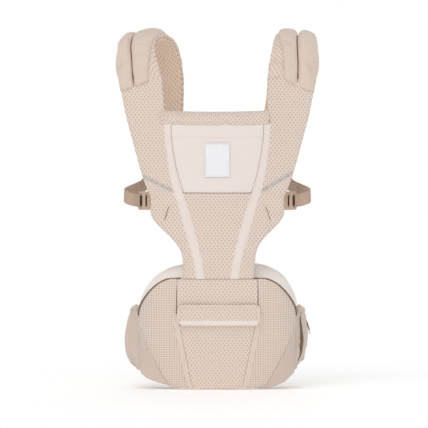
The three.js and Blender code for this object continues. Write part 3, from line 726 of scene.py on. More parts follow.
def build_wing(side):
    name = SIDES[side]
    wing_edge, inner = WING_EDGE[side], curve(WING_INNER + WING_INNER_TOP[side])
    z0, z1 = SEAM_Z + 0.3, STRAP_BASE_Z + 15
    seam_top = SEAM_TOP[side]
    seam = [(side * 150, seam_top + 1.5), (side * 84, 386.5)]
    dart = [(side * 93, 358), (side * 102, 330)]

    def front(u, v, x, z):
        a = np.abs(x)
        buckle_pull = hill(z, 366, 34) * hill(a, 128, 42)
        folds = 1.5 * buckle_pull * np.sin((z - 366) / 5.5 + a / 16)
        waist_creases = 0.8 * hill(z, 268, 34) * np.sin((z + 0.6 * a) / 7.0)
        puff = 4.2 + 0.5 * soft_wave(x, z) + folds + waist_creases
        return puff - groove(x, z, seam, 2.4, 2.6) - groove(x, z, dart, 1.6, 2.4)

    edges = (*ordered(side, 2, 6), 2, 13)
    pad = BodyPad(*mirrored(side, inner, wing_edge), z0, z1, 3.4, (44, 150), front, 3.4, edges)
    wing = settle(pad.build(f"{name}_wing_mesh", MESH), None, [f"{name}_wing"])
    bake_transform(wing)

    line = [(side * 145.5, seam_top - 0.5), (side * 88, 388.2)]
    points, _ = pad.under(line, lift=1.4, pitch=3)
    piping = tube(f"{name}_reflective_piping_cord", points, 1.9, REFLECTIVE, 12, 0.8)
    settle(piping, "carrier_body", [f"{name}_reflective_piping"])
    # A thin dark tube along the dart: painted shade in its sewn groove.
    crease, _ = pad.under(dart, -0.1)
    settle(tube(f"{name}_wing_dart_painted_shade", crease, 0.75, DARK_CORD_AND_PAINTED_SHADE, 8), "carrier_body")

    zs = np.linspace(z0 + 6, z1 - 16, 90)
    hem = np.stack([side * (wing_edge(zs) - 6.5), zs], axis=1)
    lines = [pad.under(hem), pad.under([(x, z - 4.2) for x, z in seam])]
    sew(f"{name}_wing_stitches", "carrier_body", lines, THREAD)


def build_binding(side):
    name = SIDES[side]
    edges = mirrored(side, binding_inner, binding_outer)

    def front(u, v, x, z):
        return 3.4 + 0.5 * hill(u, 0.5, 0.28) + 0.25 * small_wave(x, z)

    pad = BodyPad(*edges, SEAM_Z + 0.5, HEAD_TOP_Z + 9, 1.6, (16, 150), front, 3.5, 1.6)
    strip = pad.build(f"{name}_binding_strip", BINDING)
    settle(strip, "carrier_body", [f"{name}_binding"])
    rows = [pad.at(u, np.linspace(0.01, 0.99, 90)) for u in (0.17, 0.83)]
    sew(f"{name}_binding_stitches", "carrier_body", rows, THREAD, 3.0, 2.1, 0.33)


def build_centre():
    z0 = SEAM_Z + 0.5
    edges = both_sides(lambda z: binding_inner(z) + 3.5)  # they lie under the binding

    def front(u, v, x, z):
        sag = 1.2 * hill(z, 240, 22) * np.sin(x / 9.0 + z / 21.0)
        return 4.0 + 0.5 * soft_wave(x, z) + sag

    pad = BodyPad(*edges, z0, HEAD_FOLD_Z - 0.15, 3.4, (60, 90), front, 3.2, (2, 2, 2, 0.8))
    centre = pad.build("body_panel_mesh", MESH)
    settle(centre, "carrier_body", ["body_panel"])

    edges = (lambda z: 4 - WING_EDGE[-1](z), lambda z: WING_EDGE[1](z) - 4)
    behind = lambda u, v, x, z: 1.7 + 0.5 * small_wave(x, z)
    pad = BodyPad(*edges, z0, HEAD_FOLD_Z + 11, 9.0, (70, 60), 1.6, behind, 1.6)
    lining = pad.build("body_lining_cloth", LINING)
    settle(lining, "carrier_body", ["body_lining"])
    cloth_sheet(pad)


def build_head_panel():
    z0, z1 = HEAD_FOLD_Z + 0.15, HEAD_TOP_Z + 9
    hem_z = 490.7
    half = lambda z: binding_inner(z) + 0.1 - 2 * np.maximum(1 - (z - HEAD_FOLD_Z) / 6, 0) ** 2

    def front(u, v, x, z):
        hem = 0.7 * blend_step(hem_z - 1, hem_z + 1, z)
        middle = 1.4 * np.sin(np.pi * u) * np.sin(np.pi * v)
        label_seat = groove(x, z, [(0, 420), (0, 474)], 34, 0.5)
        return 3.6 + hem + middle + 0.35 * soft_wave(x, z) - label_seat

    pad = BodyPad(*both_sides(half), z0, z1, 3.0, (64, 60), front, 3.0, (1.2, 1.2, 1.4, 2))
    panel = pad.build("head_panel_twill", CREAM)
    settle(panel, "head_support", ["head_panel"])
    lines = [pad.under([(-88, hem_z), (86, hem_z)]), pad.under([(-66.5, 387.5), (66.5, 387.5)])]
    for side in SIDES:
        zs = np.linspace(z0 + 4, HEAD_TOP_Z - 1, 30)
        lines.append(pad.under(np.stack([side * (half(zs) - 4), zs], axis=1)))
    sew("head_panel_stitches", "head_support", lines, THREAD, 3.0, 2.1, 0.3)


def build_label():
    half, low, high = 24.5, 414, 480
    pad = BodyPad(*both_sides(lambda z: half + 0 * z), low, high, -2.6, (30, 36), 0.55, 0.6, 0.6)
    # It lies on the crowned panel, its back a little sunk into it.
    pad.front[..., 1] -= 0.9
    pad.back[..., 1] -= 0.5
    settle(pad.build("label_patch", LABEL), "head_support", ["label"])
    x, z0, z1 = half - 2.1, low + 2.2, high - 2.2
    row = pad.under([(-x, z0), (x, z0), (x, z1), (-x, z1), (-x, z0)], pitch=1.5)
    sew("label_stitches", "head_support", [row], DARK_THREAD, 2.4, 1.6, 0.25)


def build_neck_roll():
    half, centre, radius = 104.5, -5, 14.5
    gather = ripple(9, 16)

    def mid(u, v):
        x = (2 * u - 1) * half + centre
        dip = 2.5 * (1 - ((x - centre) / half) ** 2)
        z = ROLL_Z + 3.2 - dip + radius * (2 * v - 1)
        return stack(x, body_front(x, ROLL_Z) + 4, z)

    def puff(u, v, x, z):
        creases = 1.3 * (hill(u, 0, 0.05) + hill(u, 1, 0.05)) * np.sin(z / 2.4)
        return 12.5 + creases + 0.7 * gather(x, z)

    def around(u, v, p):
        return p[..., 0], ROLL_Z + 16 * np.arcsin(np.clip(2 * v - 1, -1, 1))

    roll = Pad(mid, (110, 30), puff, puff, (5, 5, 16, 16), ease=0.6, weave=around)
    roll.fill((40, 12), cap=3.0)
    settle(roll.build("neck_roll_mesh", MESH), "head_support", ["neck_roll"])
    row = roll.at(np.linspace(0.03, 0.97, 80), 0.06)
    sew("neck_roll_stitches", "head_support", [row], THREAD, 3.2)


# ---------------------------------------------------------------- shoulder straps
STRAP_ROWS = {
    # x, y, z, half width, turn, how far the outer edge drops
    -1: [
        [148.4, -52, 595, 41.2, 0.28, 0], [156, -46, 630, 41.2, 0.26, 0.03],
        [159, -31, 672, 36, 0.18, 0.06], [148.5, -10, 689.5, 38, 0.08, 0.08],
        [138, 8, 692, 40, 0, 0.08], [124, 48, 676, 44, 0, 0.05],
        [114, 76, 630, 45, 0, 0], [112, 90, 570, 45, 0, 0], [116, 96, 500, 43, 0, 0],
        [120, 92, 445, 35, 0, 0],
    ],
    1: [
        [143.6, -52, 595, 45.1, 0.28, 0], [149.3, -46, 630, 47.6, 0.26, 0.02],
        [152.2, -31, 672, 44.2, 0.18, 0.03], [154, -10, 690.5, 41, 0.08, 0.04],
        [155, 8, 693, 40, 0, 0.04], [151, 48, 676, 41, 0, 0.03],
        [146, 76, 630, 44, 0, 0], [141, 90, 570, 44, 0, 0], [128, 96, 500, 42, 0, 0],
        [119, 92, 445, 36, 0, 0],
    ],
}
# Shares of the width from the outer edge, along the strap: the gap between the two knitted
# lobes, and the seam between the inner lobe and the mesh.
STRAP_GAP = {
    -1: curve([[0, 0.345], [0.05, 0.36], [0.12, 0.385], [0.2, 0.36], [0.27, 0.3], [1, 0.34]]),
    1: curve([[0, 0.37], [0.05, 0.4], [0.14, 0.44], [0.22, 0.465], [0.28, 0.46], [1, 0.4]]),
}
STRAP_SEAM = {
    -1: curve([[0, 0.7], [0.08, 0.76], [0.18, 0.93], [0.28, 0.96], [0.45, 0.84], [1, 0.82]]),
    1: curve([[0, 0.67], [0.08, 0.705], [0.18, 0.79], [0.28, 0.93], [0.45, 0.84], [1, 0.82]]),
}
# Height at which the lobes are sewn to the wing, by distance from the middle.
STRAP_FOOT = {
    -1: curve([[106, 596], [124, 601], [134, 600.5], [162, 589], [192, 581]]),
    1: curve([[98, 598], [124, 604], [130, 603.5], [156, 588.5], [190, 577.5]]),
}
GAP_HALF = 0.011  # of the strap's width
FLAT_HALF = 8  # of the strap's width that doesn't curl, mm
FOOT_LENGTH = 0.12  # of the strap's length
STRAP_TOP = 0.27  # where the strap passes over the shoulder
STRAP_BANDS = 4  # outer lobe, gap, inner lobe, mesh
STATIONS = np.concatenate(
    [Pad.spaced(n, 0.8)[:-1] + k for k, n in enumerate((26, 4, 24, 18))] + [[STRAP_BANDS]]
)


def strap_surface(side, inset, trim, from_outer):
    """The strap's middle surface; from_outer(u, v) is the share of the width."""
    at = track(STRAP_ROWS[side])

    def mid(u, v):
        x, y, z, half, turn, drop = at(v)
        step = 1e-3
        ahead = np.stack(at(np.minimum(v + step, 1))[:3], -1)
        ahead = ahead - np.stack(at(np.maximum(v - step, 0))[:3], -1)
        out = unit(stack(0 * v, -ahead[..., 2], ahead[..., 1]))
        reach = (half - trim) * (1 - 2 * from_outer(u, v))  # positive towards the outer edge
        p = stack(side * (x + reach), y + turn * reach, z - drop * reach)
        p = p - out * inset
        # Both long edges curl towards the wearer, the outer one more.
        outer, inner = (np.maximum(way * reach - FLAT_HALF, 0) ** 2 for way in (1, -1))
        curl = 0.008 * outer + 0.0025 * inner
        p = p - out * (curl * blend_step(0.0, FOOT_LENGTH, v))[..., None]
        foot = STRAP_FOOT[side](np.abs(p[..., 0])) - STRAP_ROWS[side][0][2]
        p[..., 2] += foot * np.maximum(1 - v / FOOT_LENGTH, 0) ** 2
        return p

    return mid


def build_strap(side):
    name, body = SIDES[side], f"{SIDES[side]}_strap"
    crumple = ripple(20 + side, 30)
    own = lambda k: k if side < 0 else STRAP_BANDS - k  # counts the bands from the outer edge

    def band(u):
        return np.clip(own(u).astype(int), 0, STRAP_BANDS - 1)

    def across(u, v):
        part, gap = band(u), STRAP_GAP[side](v)
        marks = [0 * v, gap - GAP_HALF, gap + GAP_HALF, STRAP_SEAM[side](v), 0 * v + 1]
        low = np.choose(part, marks[:-1])
        return low + (np.choose(part, marks[1:]) - low) * (own(u) - part)

    def front(u, v, x, z):
        k, part = own(u), band(u)
        f = k - part
        arch = hill(v, STRAP_TOP, 0.12)
        near_foot = 1 - blend_step(0.03, 0.1, v)
        heights = [8.6 + 1.5 * arch, -1.5 + 5.4 * near_foot, 9.0 + 2.4 * arch,
                   3.6 * blend_step(0, 0.1, v) * (1 - 0.75 * arch)]
        floor = np.choose(part, [0.6, 0.6, 0.6 + 1.6 * (f > 0.5) * (2 * f - 1), 2.2])
        thick = floor + np.choose(part, heights) * (1 - np.abs(2 * f - 1) ** 2.8) ** 0.55
        creases = 0.7 * arch * np.sin(v * 330) * hill(k, 2.6, 0.8)
        return thick + (0.5 * crumple(u * 24, v * 420) + creases) * (part != 1)

    def sewn(u, v):
        k = own(u)
        return ((k > 0.9) & (k < 2.1)) | ((np.abs(k - 3) < 0.12) & (v < 0.5))

    # The gap band between the lobes takes the dark brown: painted shade.
    def zones(u, v, is_front):
        return np.choose(band(u), [0, 3, 0, 1]) if is_front else np.full(u.shape, 2)

    stations = np.sort(own(STATIONS))
    pad = Pad(strap_surface(side, 1.0, 0, across), (stations, 220), front, 4.0, (5, 5, 2.2, 6),
              ease=0.25)
    pad.fill((30, 70), sewn, (True, False), pressure=4.0)
    strap = pad.build(f"{name}_strap_cover", [KNIT, MESH, UNDER_MESH_PAINTED_LIGHT, DARK_CORD_AND_PAINTED_SHADE], zones)
    settle(strap, body, [f"{name}_strap_pad"])

    below = strap_surface(side, 7.0, 3, lambda u, v: outward(-side, u))
    padding = lambda u, v, x, z: 3.0 + 0.6 * crumple(u * 85, v * 420)
    under = Pad(below, (60, 170), 2.0, padding, 4, ease=0.25)
    lining = under.build(f"{name}_strap_underside", UNDER_MESH_PAINTED_LIGHT)
    settle(lining, body, [f"{name}_strap_lining"])

    rows = [pad.at(own(0.12), np.linspace(0.012, 0.95, 200), 0),
            pad.at(own(2.93), np.linspace(0.02, 0.4, 90), 0)]
    for ends in ((0.1, 0.95), (2.05, 2.95)):
        rows.append(pad.at(own(np.linspace(*ends, 30)), 0.016, 0))
    sew(f"{name}_strap_stitches", body, rows, THREAD, radius=0.32)

    run = [
        [120, 90, 442, 1, 0, 0], [124, 84, 420, 1, 0, 0], [134, 64, 408, 0.8, 0, 0.6],
        [148, 34, 396, 0.1, 0, 1], [159, -4.8, 389.5, 0.15, 0, 1],
    ]
    webbing(f"{name}_strap_webbing", body, run, side, WEBBING_HALF, 90)


def build_chest_strap():
    y, z = 114.0, 512.0
    for side, name in SIDES.items():
        rail = [[118, y - 4.6, z + rise, 1, 0, 0] for rise in (-50, 0, 50)]
        webbing(f"{name}_chest_rail", f"{name}_strap", rail, side, 8, 50, 0.75)
        run = level(24.5, 102.0, y + 1, z, 4)
        webbing(f"{name}_chest_webbing", "chest_strap", run, side, 10, 50)


# ---------------------------------------------------------------- hip seat
seat_width = curve([
    [0, 72], [8, 97], [18, 107], [57, 130], [86, 144], [115, 151], [136, 152], [216, 152],
])
pocket_end = curve([
    [0, 68], [8, 92], [18, 101], [57, 122], [86, 136], [115, 147], [136, 151], [216, 152],
])
seat_reach = curve([[0, 24], [12, 32], [60, 57], [120, 82], [168, 93], [200, 96], [216, 95]])
front_edge = curve([[0, 46], [12, 52], [67, 63], [128, 75], [154, 79], [216, 79]])
COVER_WIDTH = {
    -1: curve([[150, 143], [160, 150], [172, 149.5], [190, 141.5], [208, 129], [223, 113],
               [235, 89], [241, 68]]),
    1: curve([[150, 143], [160, 151], [172, 153], [190, 147], [208, 137], [223, 124],
              [235, 104], [241, 84]]),
}
cover_reach = curve([
    [150, 98], [170, 99], [200, 98], [216, 95], [224, 90], [235, 78], [241, 60],
])
PLAN_POINTS = 128


def seat_point(phi, z, out):
    x = (seat_width(z) + out) * bend(np.sin(phi))
    y = SHOULDER_Y - (seat_reach(z) + out) * bend(np.cos(phi))
    return stack(x, y, z)


def seat_angle(x, z):
    ratio = np.minimum(np.abs(x) / seat_width(z), 1) ** (1 / SQUARENESS)
    return np.arcsin(ratio) * np.sign(x)


def on_seat(x, z, out):
    """Points of the seat's face at x, z, this far out from it."""
    return seat_point(seat_angle(x, z), z, out)


def seat_pad(left, right, z0, z1, out, *padding, **options):
    """A pad on the seat's face, from z0 to z1 and from x = left(z) to right(z)."""
    def mid(u, v):
        z = z0 + (z1 - z0) * v
        return seat_point(seat_angle(left(z), z) * (1 - u) + seat_angle(right(z), z) * u, z, out)

    def weave(u, v, p):
        return p[..., 0] * 1.03, p[..., 2] * 1.03

    return Pad(mid, *padding, weave=weave, **options)


def build_seat_front():
    def front(u, v, x, z):
        return 2.4 + 1.6 * np.sin(np.pi * u) ** 0.7 + 0.45 * soft_wave(x, z)

    panels = (
        ("upper_front_panel", 134.0, SEAM_Z + 1, (2.5, 2.5, 1.5, 3)),
        ("front_pocket_panel", 1.5, 134.5, (2.5, 2.5, 4, 1.5)),
    )
    for node, z0, z1, edges in panels:
        pad = seat_pad(*both_sides(lambda z: front_edge(z) - 0.4), z0, z1, -2.0, (70, 64),
                       front, 1.6, edges)
        settle(pad.build(f"{node}_mesh", MESH), "seat_and_belt", [node])


def side_pocket_edge(z):
    """The curved open edge of a side pocket."""
    up = np.clip((z - 145) / 75, 0, 1)
    return 78 + 73 * np.sqrt(1 - up**1.5)


def build_side_pocket(side):
    name = SIDES[side]
    near = lambda z: front_edge(z) + 8 - 7.2 * blend_step(136, 154, z)
    far = lambda z: np.minimum(side_pocket_edge(z), pocket_end(z))

    def front(u, v, x, z):
        w = outward(side, u)
        mouth = 3.0 * blend_step(0.45, 1.0, w) * hill(z, 165, 26)
        crown = 2.0 * np.sin(np.pi * w) * np.sin(np.pi * v)
        pull = 0.7 * hill(w, 0, 0.22) * np.sin(z / 4.2) * hill(z, 190, 24)
        return 1.6 + mouth + crown + pull + 0.5 * soft_wave(x + 40, z)

    edges = (*ordered(side, 2.5, 1.4), 3, 1.4)
    pad = seat_pad(*mirrored(side, near, far), 1.5, 218.0, -1.5, (64, 110), front, 1.4, edges)
    piece = pad.build(f"{name}_side_pocket_mesh", FINE_MESH)
    settle(piece, "seat_and_belt", [f"{name}_side_pocket"])

    # A narrow rolled hem along the mouth, and a dark tube behind it: painted shade inside the
    # mouth.
    v = np.linspace(0.655, 0.995, 70)
    points, _ = pad.at(0.006 if side < 0 else 0.994, v)
    hem = tube(f"{name}_pocket_hem", points, 1.15, BEIGE, 10)
    settle(hem, "seat_and_belt")
    cloth_sheet(pad)
    away = np.array([side * 0.86, 0.5, 0.1])
    width = 3.0 * np.sin(np.pi * np.clip((v - 0.65) / 0.36, 0, 1) ** 0.7) ** 0.6
    inner = points + away * (0.6 + width)[:, None]
    top_end = np.array([side * 70, inner[-1][1] - 4, SEAM_Z + 2.6])
    reach = np.linspace(0.1, 1, 14)[:, None]
    inner = np.concatenate([inner, inner[-1] * (1 - reach) + top_end * reach])
    settle(tube(f"{name}_pocket_mouth_painted_shade", inner, 1.9, DARK_CORD_AND_PAINTED_SHADE, 10), "seat_and_belt")


def build_seat_seams(side):
    """The double ridge that joins the front pocket to the side."""
    name = SIDES[side]
    edges = mirrored(side, lambda z: front_edge(z) - 1.2, lambda z: front_edge(z) + 9.6)
    front = lambda u, v, x, z: 2.2 + 1.3 * np.abs(np.sin(2 * np.pi * u)) ** 0.8
    pad = seat_pad(*edges, 1.5, 150, -1.5, (22, 90), front, 1.0, (1.6, 1.6, 2, 2))
    band = pad.build(f"{name}_seam_band", SEAM)
    settle(band, "seat_and_belt", [f"{name}_seam_piping"])
    rows = [pad.at(u, np.linspace(0.01, 0.99, 80), -0.05) for u in (0.03, 0.5, 0.97)]
    sew(f"{name}_seam_band_stitches", "seat_and_belt", rows, DARK_THREAD, 2.8, 1.9, 0.28)


def build_side_panel(side):
    """Twill that carries the face of the seat on to the belt wing."""
    name = SIDES[side]
    sag, skew = {-1: (4.5, 2.2), 1: (9.0, 1.15)}[side]

    def mid(u, v):
        w = outward(side, u)
        near_z, far_z = 1.5 + 142 * v, 31 + 111 * v
        near = on_seat(pocket_end(near_z), near_z, -1.4)
        far = stack(150.5, -33.5, far_z)
        p = near * (1 - w)[..., None] + far * w[..., None]
        bow = np.sin(np.pi * w)[..., None] * (2.8, -2.1, 0)
        droop = sag * np.sin(np.pi * w**skew) * (1 - v) ** 2
        return (p + bow - droop[..., None] * (0, 0, 1)) * (side, 1, 1)

    def front(u, v, x, z):
        return 2.2 + 0.5 * soft_wave(z, x)

    def unrolled(u, v, p):
        phi = np.arctan2(p[..., 0], SHOULDER_Y - p[..., 1] + 20)
        return phi * 150, p[..., 2] * 1.02

    edges = (*ordered(side, 1.6, 0.8), 2.5, 2.5)
    pad = Pad(mid, (30, 60), front, 1.5, edges, weave=unrolled)
    piece = pad.build(f"{name}_side_panel_twill", BEIGE)
    settle(piece, "seat_and_belt", [f"{name}_side_panel"])


def plan_outline(width, reach, back, shoulder=SHOULDER_Y):
    """A plan that is rounded in front of the shoulder line and squarer behind it."""
    angle = np.arange(PLAN_POINTS) / PLAN_POINTS * 2 * np.pi
    ahead = np.cos(angle)
    depth = np.where(ahead > 0, reach, back - shoulder)
    power = np.where(ahead > 0, SQUARENESS, 0.4)
    return width * bend(np.sin(angle), power), shoulder - depth * bend(ahead, power)


def loft(name, levels, outline, material):
    """A closed form through one plan outline for each height."""
    rings = [stack(*outline(z), z) for z in levels]
    at, quads = ring_quads(len(levels), PLAN_POINTS)
    low = at.size
    points = np.concatenate(rings + [[rings[0].mean(0)], [rings[-1].mean(0)]])
    turned = np.roll(at, -1, axis=1)
    caps = [[low, j, i] for i, j in zip(at[0], turned[0])]
    caps += [[low + 1, i, j] for i, j in zip(at[-1], turned[-1])]
    cloth = np.stack([points[:, 0], (points[:, 2] - points[:, 1]) * 0.8], axis=1)
    return mesh_object(name, points, quads.tolist() + caps, [material], cloth)


def build_seat_cover():
    """The padded twill dome over the foam."""
    centre_y, crown_z, top_z = -20, 239, 245
    wrinkle = ripple(31, 34)

    def outline(level):
        z = min(level, 241)
        x, y = plan_outline(1.0, cover_reach(z), SEAT_BACK_Y, -10)
        x = x * np.where(x > 0, COVER_WIDTH[1](z), COVER_WIDTH[-1](z))
        shrink = 1 - 0.96 * ((max(level, crown_z) - crown_z) / (top_z - crown_z)) ** 2.2
        return x * shrink, centre_y + (y - centre_y) * shrink

    levels = [149, 151, 156, 162, 170, 180, 190, 200, 208, 215, 221, 227, 232, 236, crown_z,
              240.6, 242, 243.2, 244.1, 244.7, top_z]
    dome = loft("seat_cover_twill", levels, outline, SEAT_CREAM_PAINTED_LIGHT)
    co = np.array([v.co for v in dome.data.vertices]) / MM
    out = unit(co - (0, centre_y, 170))
    centre_seam = hill(co[:, 0], 0, 2.2) * (co[:, 2] > 200)
    faces = [list(f.vertices) for f in dome.data.polygons]
    co += inflate(co, faces, co[:, 2] < 153, pressure=3.0, cap=7.0)
    co += out * (0.9 * wrinkle(co[:, 0], co[:, 1] + co[:, 2]) - 1.6 * centre_seam)[:, None]
    dome.data.vertices.foreach_set("co", (co * MM).astype(np.float32).ravel())
    settle(dome, "seat_and_belt", ["left_seat_cover", "right_seat_cover"])


def build_seat_core():
    """The foam wedge's own cloth, the base panel and the piping round its front."""
    def core(z):
        return plan_outline(seat_width(z) - 21, max(seat_reach(z) - 17, 12), SEAT_BACK_Y)

    def base(z):
        return plan_outline(66 + 5 * z, 26 + z / 2, 44)

    levels = [4.5, 8, 20, 40, 60, 80, 100, 120, 135, 146, 150]
    foam = loft("seat_core_cloth", levels, core, LINING)
    settle(foam, "seat_and_belt", ["seat_core"])
    panel = loft("base_panel_twill", [0, 0.25, 1.2, 2.6, 3.6, 4], base, BEIGE)
    settle(panel, "seat_and_belt", ["base_panel"])
    hem = seat_point(np.linspace(-1.02, 1.02, 90), 2.6, 0.4)
    settle(tube("base_piping", hem, 1.7, CREAM, 10), "seat_and_belt")


def rounded_loop(half, low, high, radius):
    """Points of a closed rectangle with rounded corners; the sizes are to the corner centres."""
    corner = np.linspace(0, np.pi / 2, 9)
    loop = []
    for k, centre in enumerate([(half, high), (-half, high), (-half, low), (half, low)]):
        turn = corner + k * np.pi / 2
        loop.append(np.stack([np.cos(turn), np.sin(turn)], 1) * radius + centre)
    return resample(np.concatenate(loop + [loop[0][:1]]), 2.5)


def build_flap():
    z0, z1, half, radius, middle = 127.5, 168.5, 77.5, 11.0, 2.5
    inset, hinge_z = 2.6, 149

    def half_width(z):
        short = np.clip(1 - np.minimum(z1 - z, z - z0) / radius, 0, 1)
        return half - radius * (1 - np.sqrt(np.maximum(1 - short * short, 0)))

    def front(u, v, x, z):
        return 2.8 + 0.35 * small_wave(x, z)

    left, right = (lambda z: middle - half_width(z)), (lambda z: middle + half_width(z))
    pad = seat_pad(left, right, z0, z1, 5.2, (80, 32), front, 2.8, 2.4, ease=0.6)
    settle(pad.build("pocket_flap_mesh", MESH), "flap", ["pocket_flap"])

    # Twill bound round the edge, broader along the free lower edge.
    x, z = rounded_loop(half - radius, z0 + radius, z1 - radius, radius - inset).T
    x = x + middle
    line = on_seat(x, z, 6.0)
    line = np.concatenate([line, line[:2]])
    # It thins out along the hinge, where the flap is sewn to the panel.
    girth = 3.0 - 1.9 * blend_step(z1 - 10, z1 - 4, line[:, 2])
    bound = tube("pocket_flap_binding", line, girth, SEAM, 14, 0.9, up=(0, 1, 0))
    settle(bound, "flap")
    hem_x = np.linspace(middle - half + 5, middle + half - 5, 60)
    hem = on_seat(hem_x, np.full_like(hem_x, z0 + 5.5), 6.4)
    hem = tube("pocket_flap_hem", hem, 3.9, BINDING, 14, 1.5, up=(0, 1, 0))
    settle(hem, "flap")
    inner = resample(np.stack([x * 0.945, (z - hinge_z) * 0.7 + hinge_z], 1), 2.5).T
    points = on_seat(*inner, 8.4)
    row = (points, unit(on_seat(*inner, 10.0) - points))
    sew("pocket_flap_stitches", "flap", [row], THREAD, 3.0, 2.1, 0.33)


def build_belly_pad():
    half = 149.0
    channels = [[(-110, 40), (-60, 62), (60, 62), (110, 40)],
                [(-120, 98), (-60, 106), (60, 106), (120, 98)]]

    def mid(u, v):
        x = half * (1 - 2 * u)
        low = 5 + 27 * (np.abs(x) / half) ** 3.2
        bow = 8 * (x / half) ** 2
        return stack(x, 31 + bow, low + (152 - bow - low) * v)

    def wearer_side(u, v, x, z):
        return 6.6 + 0.6 * soft_wave(x, z) - sum(groove(x, z, k, 3.2, 3.2) for k in channels)

    pad = Pad(mid, (110, 60), wearer_side, 5, 6, weave=facing)
    pad.fill((44, 24), faces=(True, False), slack=0.02, cap=4.0)
    piece = pad.build("belly_pad_mesh", UNDER_MESH_PAINTED_LIGHT)
    settle(piece, "seat_and_belt", ["belly_pad"])


# ---------------------------------------------------------------- belt
BELT_ROWS = [
    # x, y, z, half height
    [147, -31.5, 89.5, 52.5], [160, -12, 91, 55.5], [170.5, 16, 99, 59], [171.5, 55, 101, 56],
    [160, 92, 103, 51], [136, 117, 104, 46], [110, 129, 104, 40],
]
# How far each wing stands out from the middle at each height, seen from the front.
BELT_OUTLINE = {
    -1: curve([[28, 149], [35, 157], [50, 167.5], [73, 177], [97, 179.3], [120, 178],
               [139, 173.4], [151, 166], [159, 156]]),
    1: curve([[28, 147], [35, 151], [47, 158.5], [72, 168.5], [99, 174], [125, 175.5],
              [140, 173.5], [153, 167], [161, 157]]),
}
BELT_WIDEST = 179.3


def build_belt_wing(side):
    name, body = SIDES[side], f"{SIDES[side]}_wing_belt"
    at = track(BELT_ROWS)
    crumple = ripple(40 + side, 48)

    def mid(u, v):
        x, y, z, half = at(v)
        z = z - side * (2 * u - 1) * half
        share = blend_step(0.02, 0.2, v) * (1 - blend_step(0.42, 0.62, v))
        return stack(side * (x + (2 + BELT_OUTLINE[side](z) - BELT_WIDEST) * share), y, z)

    def outside(u, v, x, z):
        drag = 1.1 * np.sin(v * 26 + 3 * u) * hill(v, 0.3, 0.3)
        return 6.2 + 0.9 * crumple(v * 260, u * 110) + drag

    def inside(u, v, x, z):
        return 5.8 + 0.6 * crumple(v * 200, u * 130)

    def zones(u, v, is_front):
        return np.full(u.shape, 0 if is_front else 1)

    pad = Pad(mid, (56, 130), outside, inside, (7, 7, 1.4, 6), ease=0.4)
    pad.fill((20, 48))
    wing = pad.build(f"{name}_belt_wing_twill", [BEIGE, UNDER_MESH_PAINTED_LIGHT], zones)
    settle(wing, body, [f"{name}_belt_wing"])
    rows = [pad.at(u, np.linspace(0.03, 0.97, 120)) for u in (0.09, 0.91)]
    rows.append(pad.at(np.linspace(0.1, 0.9, 30), 0.955))
    sew(f"{name}_belt_wing_stitches", body, rows, DARK_THREAD)
    if side > 0:
        build_zip(pad, body)


def build_zip(wing, body):
    """A dark tape in the crease of the right wing, painted shade where the zip runs, and the zip's
    short pull cord with the pale tip.
    """
    u = np.linspace(0.06, 0.9, 60)
    tape_line, _ = wing.at(u, 0.185 - 0.03 * np.sin(np.pi * u), -0.6)
    girth = 1.7 + 2.2 * np.sin(np.pi * np.linspace(0, 1, 60) ** 1.1) ** 2
    # The tape's dark brown is painted shade of the crease.
    settle(tube("zip_tape_painted_shade", tape_line, girth, DARK_CORD_AND_PAINTED_SHADE, 12, 1.2, up=(1, 0, 0)), body)
    low, high = (np.array(corner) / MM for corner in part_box("zip_pull"))
    middle = (low + high) / 2
    start = tape_line[0]
    end = np.array([middle[0], middle[1], low[2] + 7])
    k = np.linspace(0, 1, 40)[:, None]
    bend_at = np.array([(start[0] + end[0]) / 2 + 2, end[1], start[2] - 6])
    cord = start * (1 - k) ** 2 + 2 * bend_at * k * (1 - k) + end * k**2
    pull_cord = settle(tube("zip_pull_cord", cord, 1.5, DARK_CORD_AND_PAINTED_SHADE, 10), body)
    tip = end + np.array([0.8, 0, -7.0]) * np.linspace(-0.1, 1, 12)[:, None]
    tip = settle(tube("zip_pull_tip", tip, 2.0, LABEL, 10), body, ["zip_pull"])
    float(run_of(cord * MM)[-1])


def build_waist():
    z, y = 104.0, 123.5
    socket_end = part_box("waist_buckle_socket")[1].x / MM
    plug_end = -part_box("waist_buckle_plug")[0].x / MM
    runs = (
        ("left_waist_webbing", -1, level(plug_end + 2, 112, y + 1, z)),
        ("right_waist_webbing", 1, level(socket_end + 0.4, 108, y + 10.4, z)),
        ("waist_webbing_tail", -1, level(plug_end + 6, 96, y - 2, z)),
    )
    for node, side, rows in runs:
        webbing(node, f"{SIDES[side]}_wing_belt", rows, side, WAIST_HALF, 60)


# ---------------------------------------------------------------- hard parts
def round_off(node, body, width, material=PLASTIC):
    """A moulded copy of a CAD piece with its edges rounded by `width` mm."""
    obj = frame["nodes"][node].copy()
    obj.data = obj.data.copy()
    obj.name = f"{node}_moulded"
    obj.parent = None
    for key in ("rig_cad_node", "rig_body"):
        if key in obj:
            del obj[key]
    obj.hide_render = obj.hide_viewport = False
    bpy.context.scene.collection.objects.link(obj)
    obj.data.materials.clear()
    obj.data.materials.append(material)
    obj.data.polygons.foreach_set("use_smooth", np.ones(len(obj.data.polygons), bool))
    obj.modifiers.new("weld", "WELD").merge_threshold = 1e-5
    bevel = obj.modifiers.new("bevel", "BEVEL")
    bevel.width = width * MM
    bevel.segments = 3
    bevel.limit_method = "ANGLE"
    bevel.angle_limit = math.radians(35)
    bevel.harden_normals = False
    obj.modifiers.new("normals", "WEIGHTED_NORMAL").keep_sharp = False
    return settle(obj, body, [node])


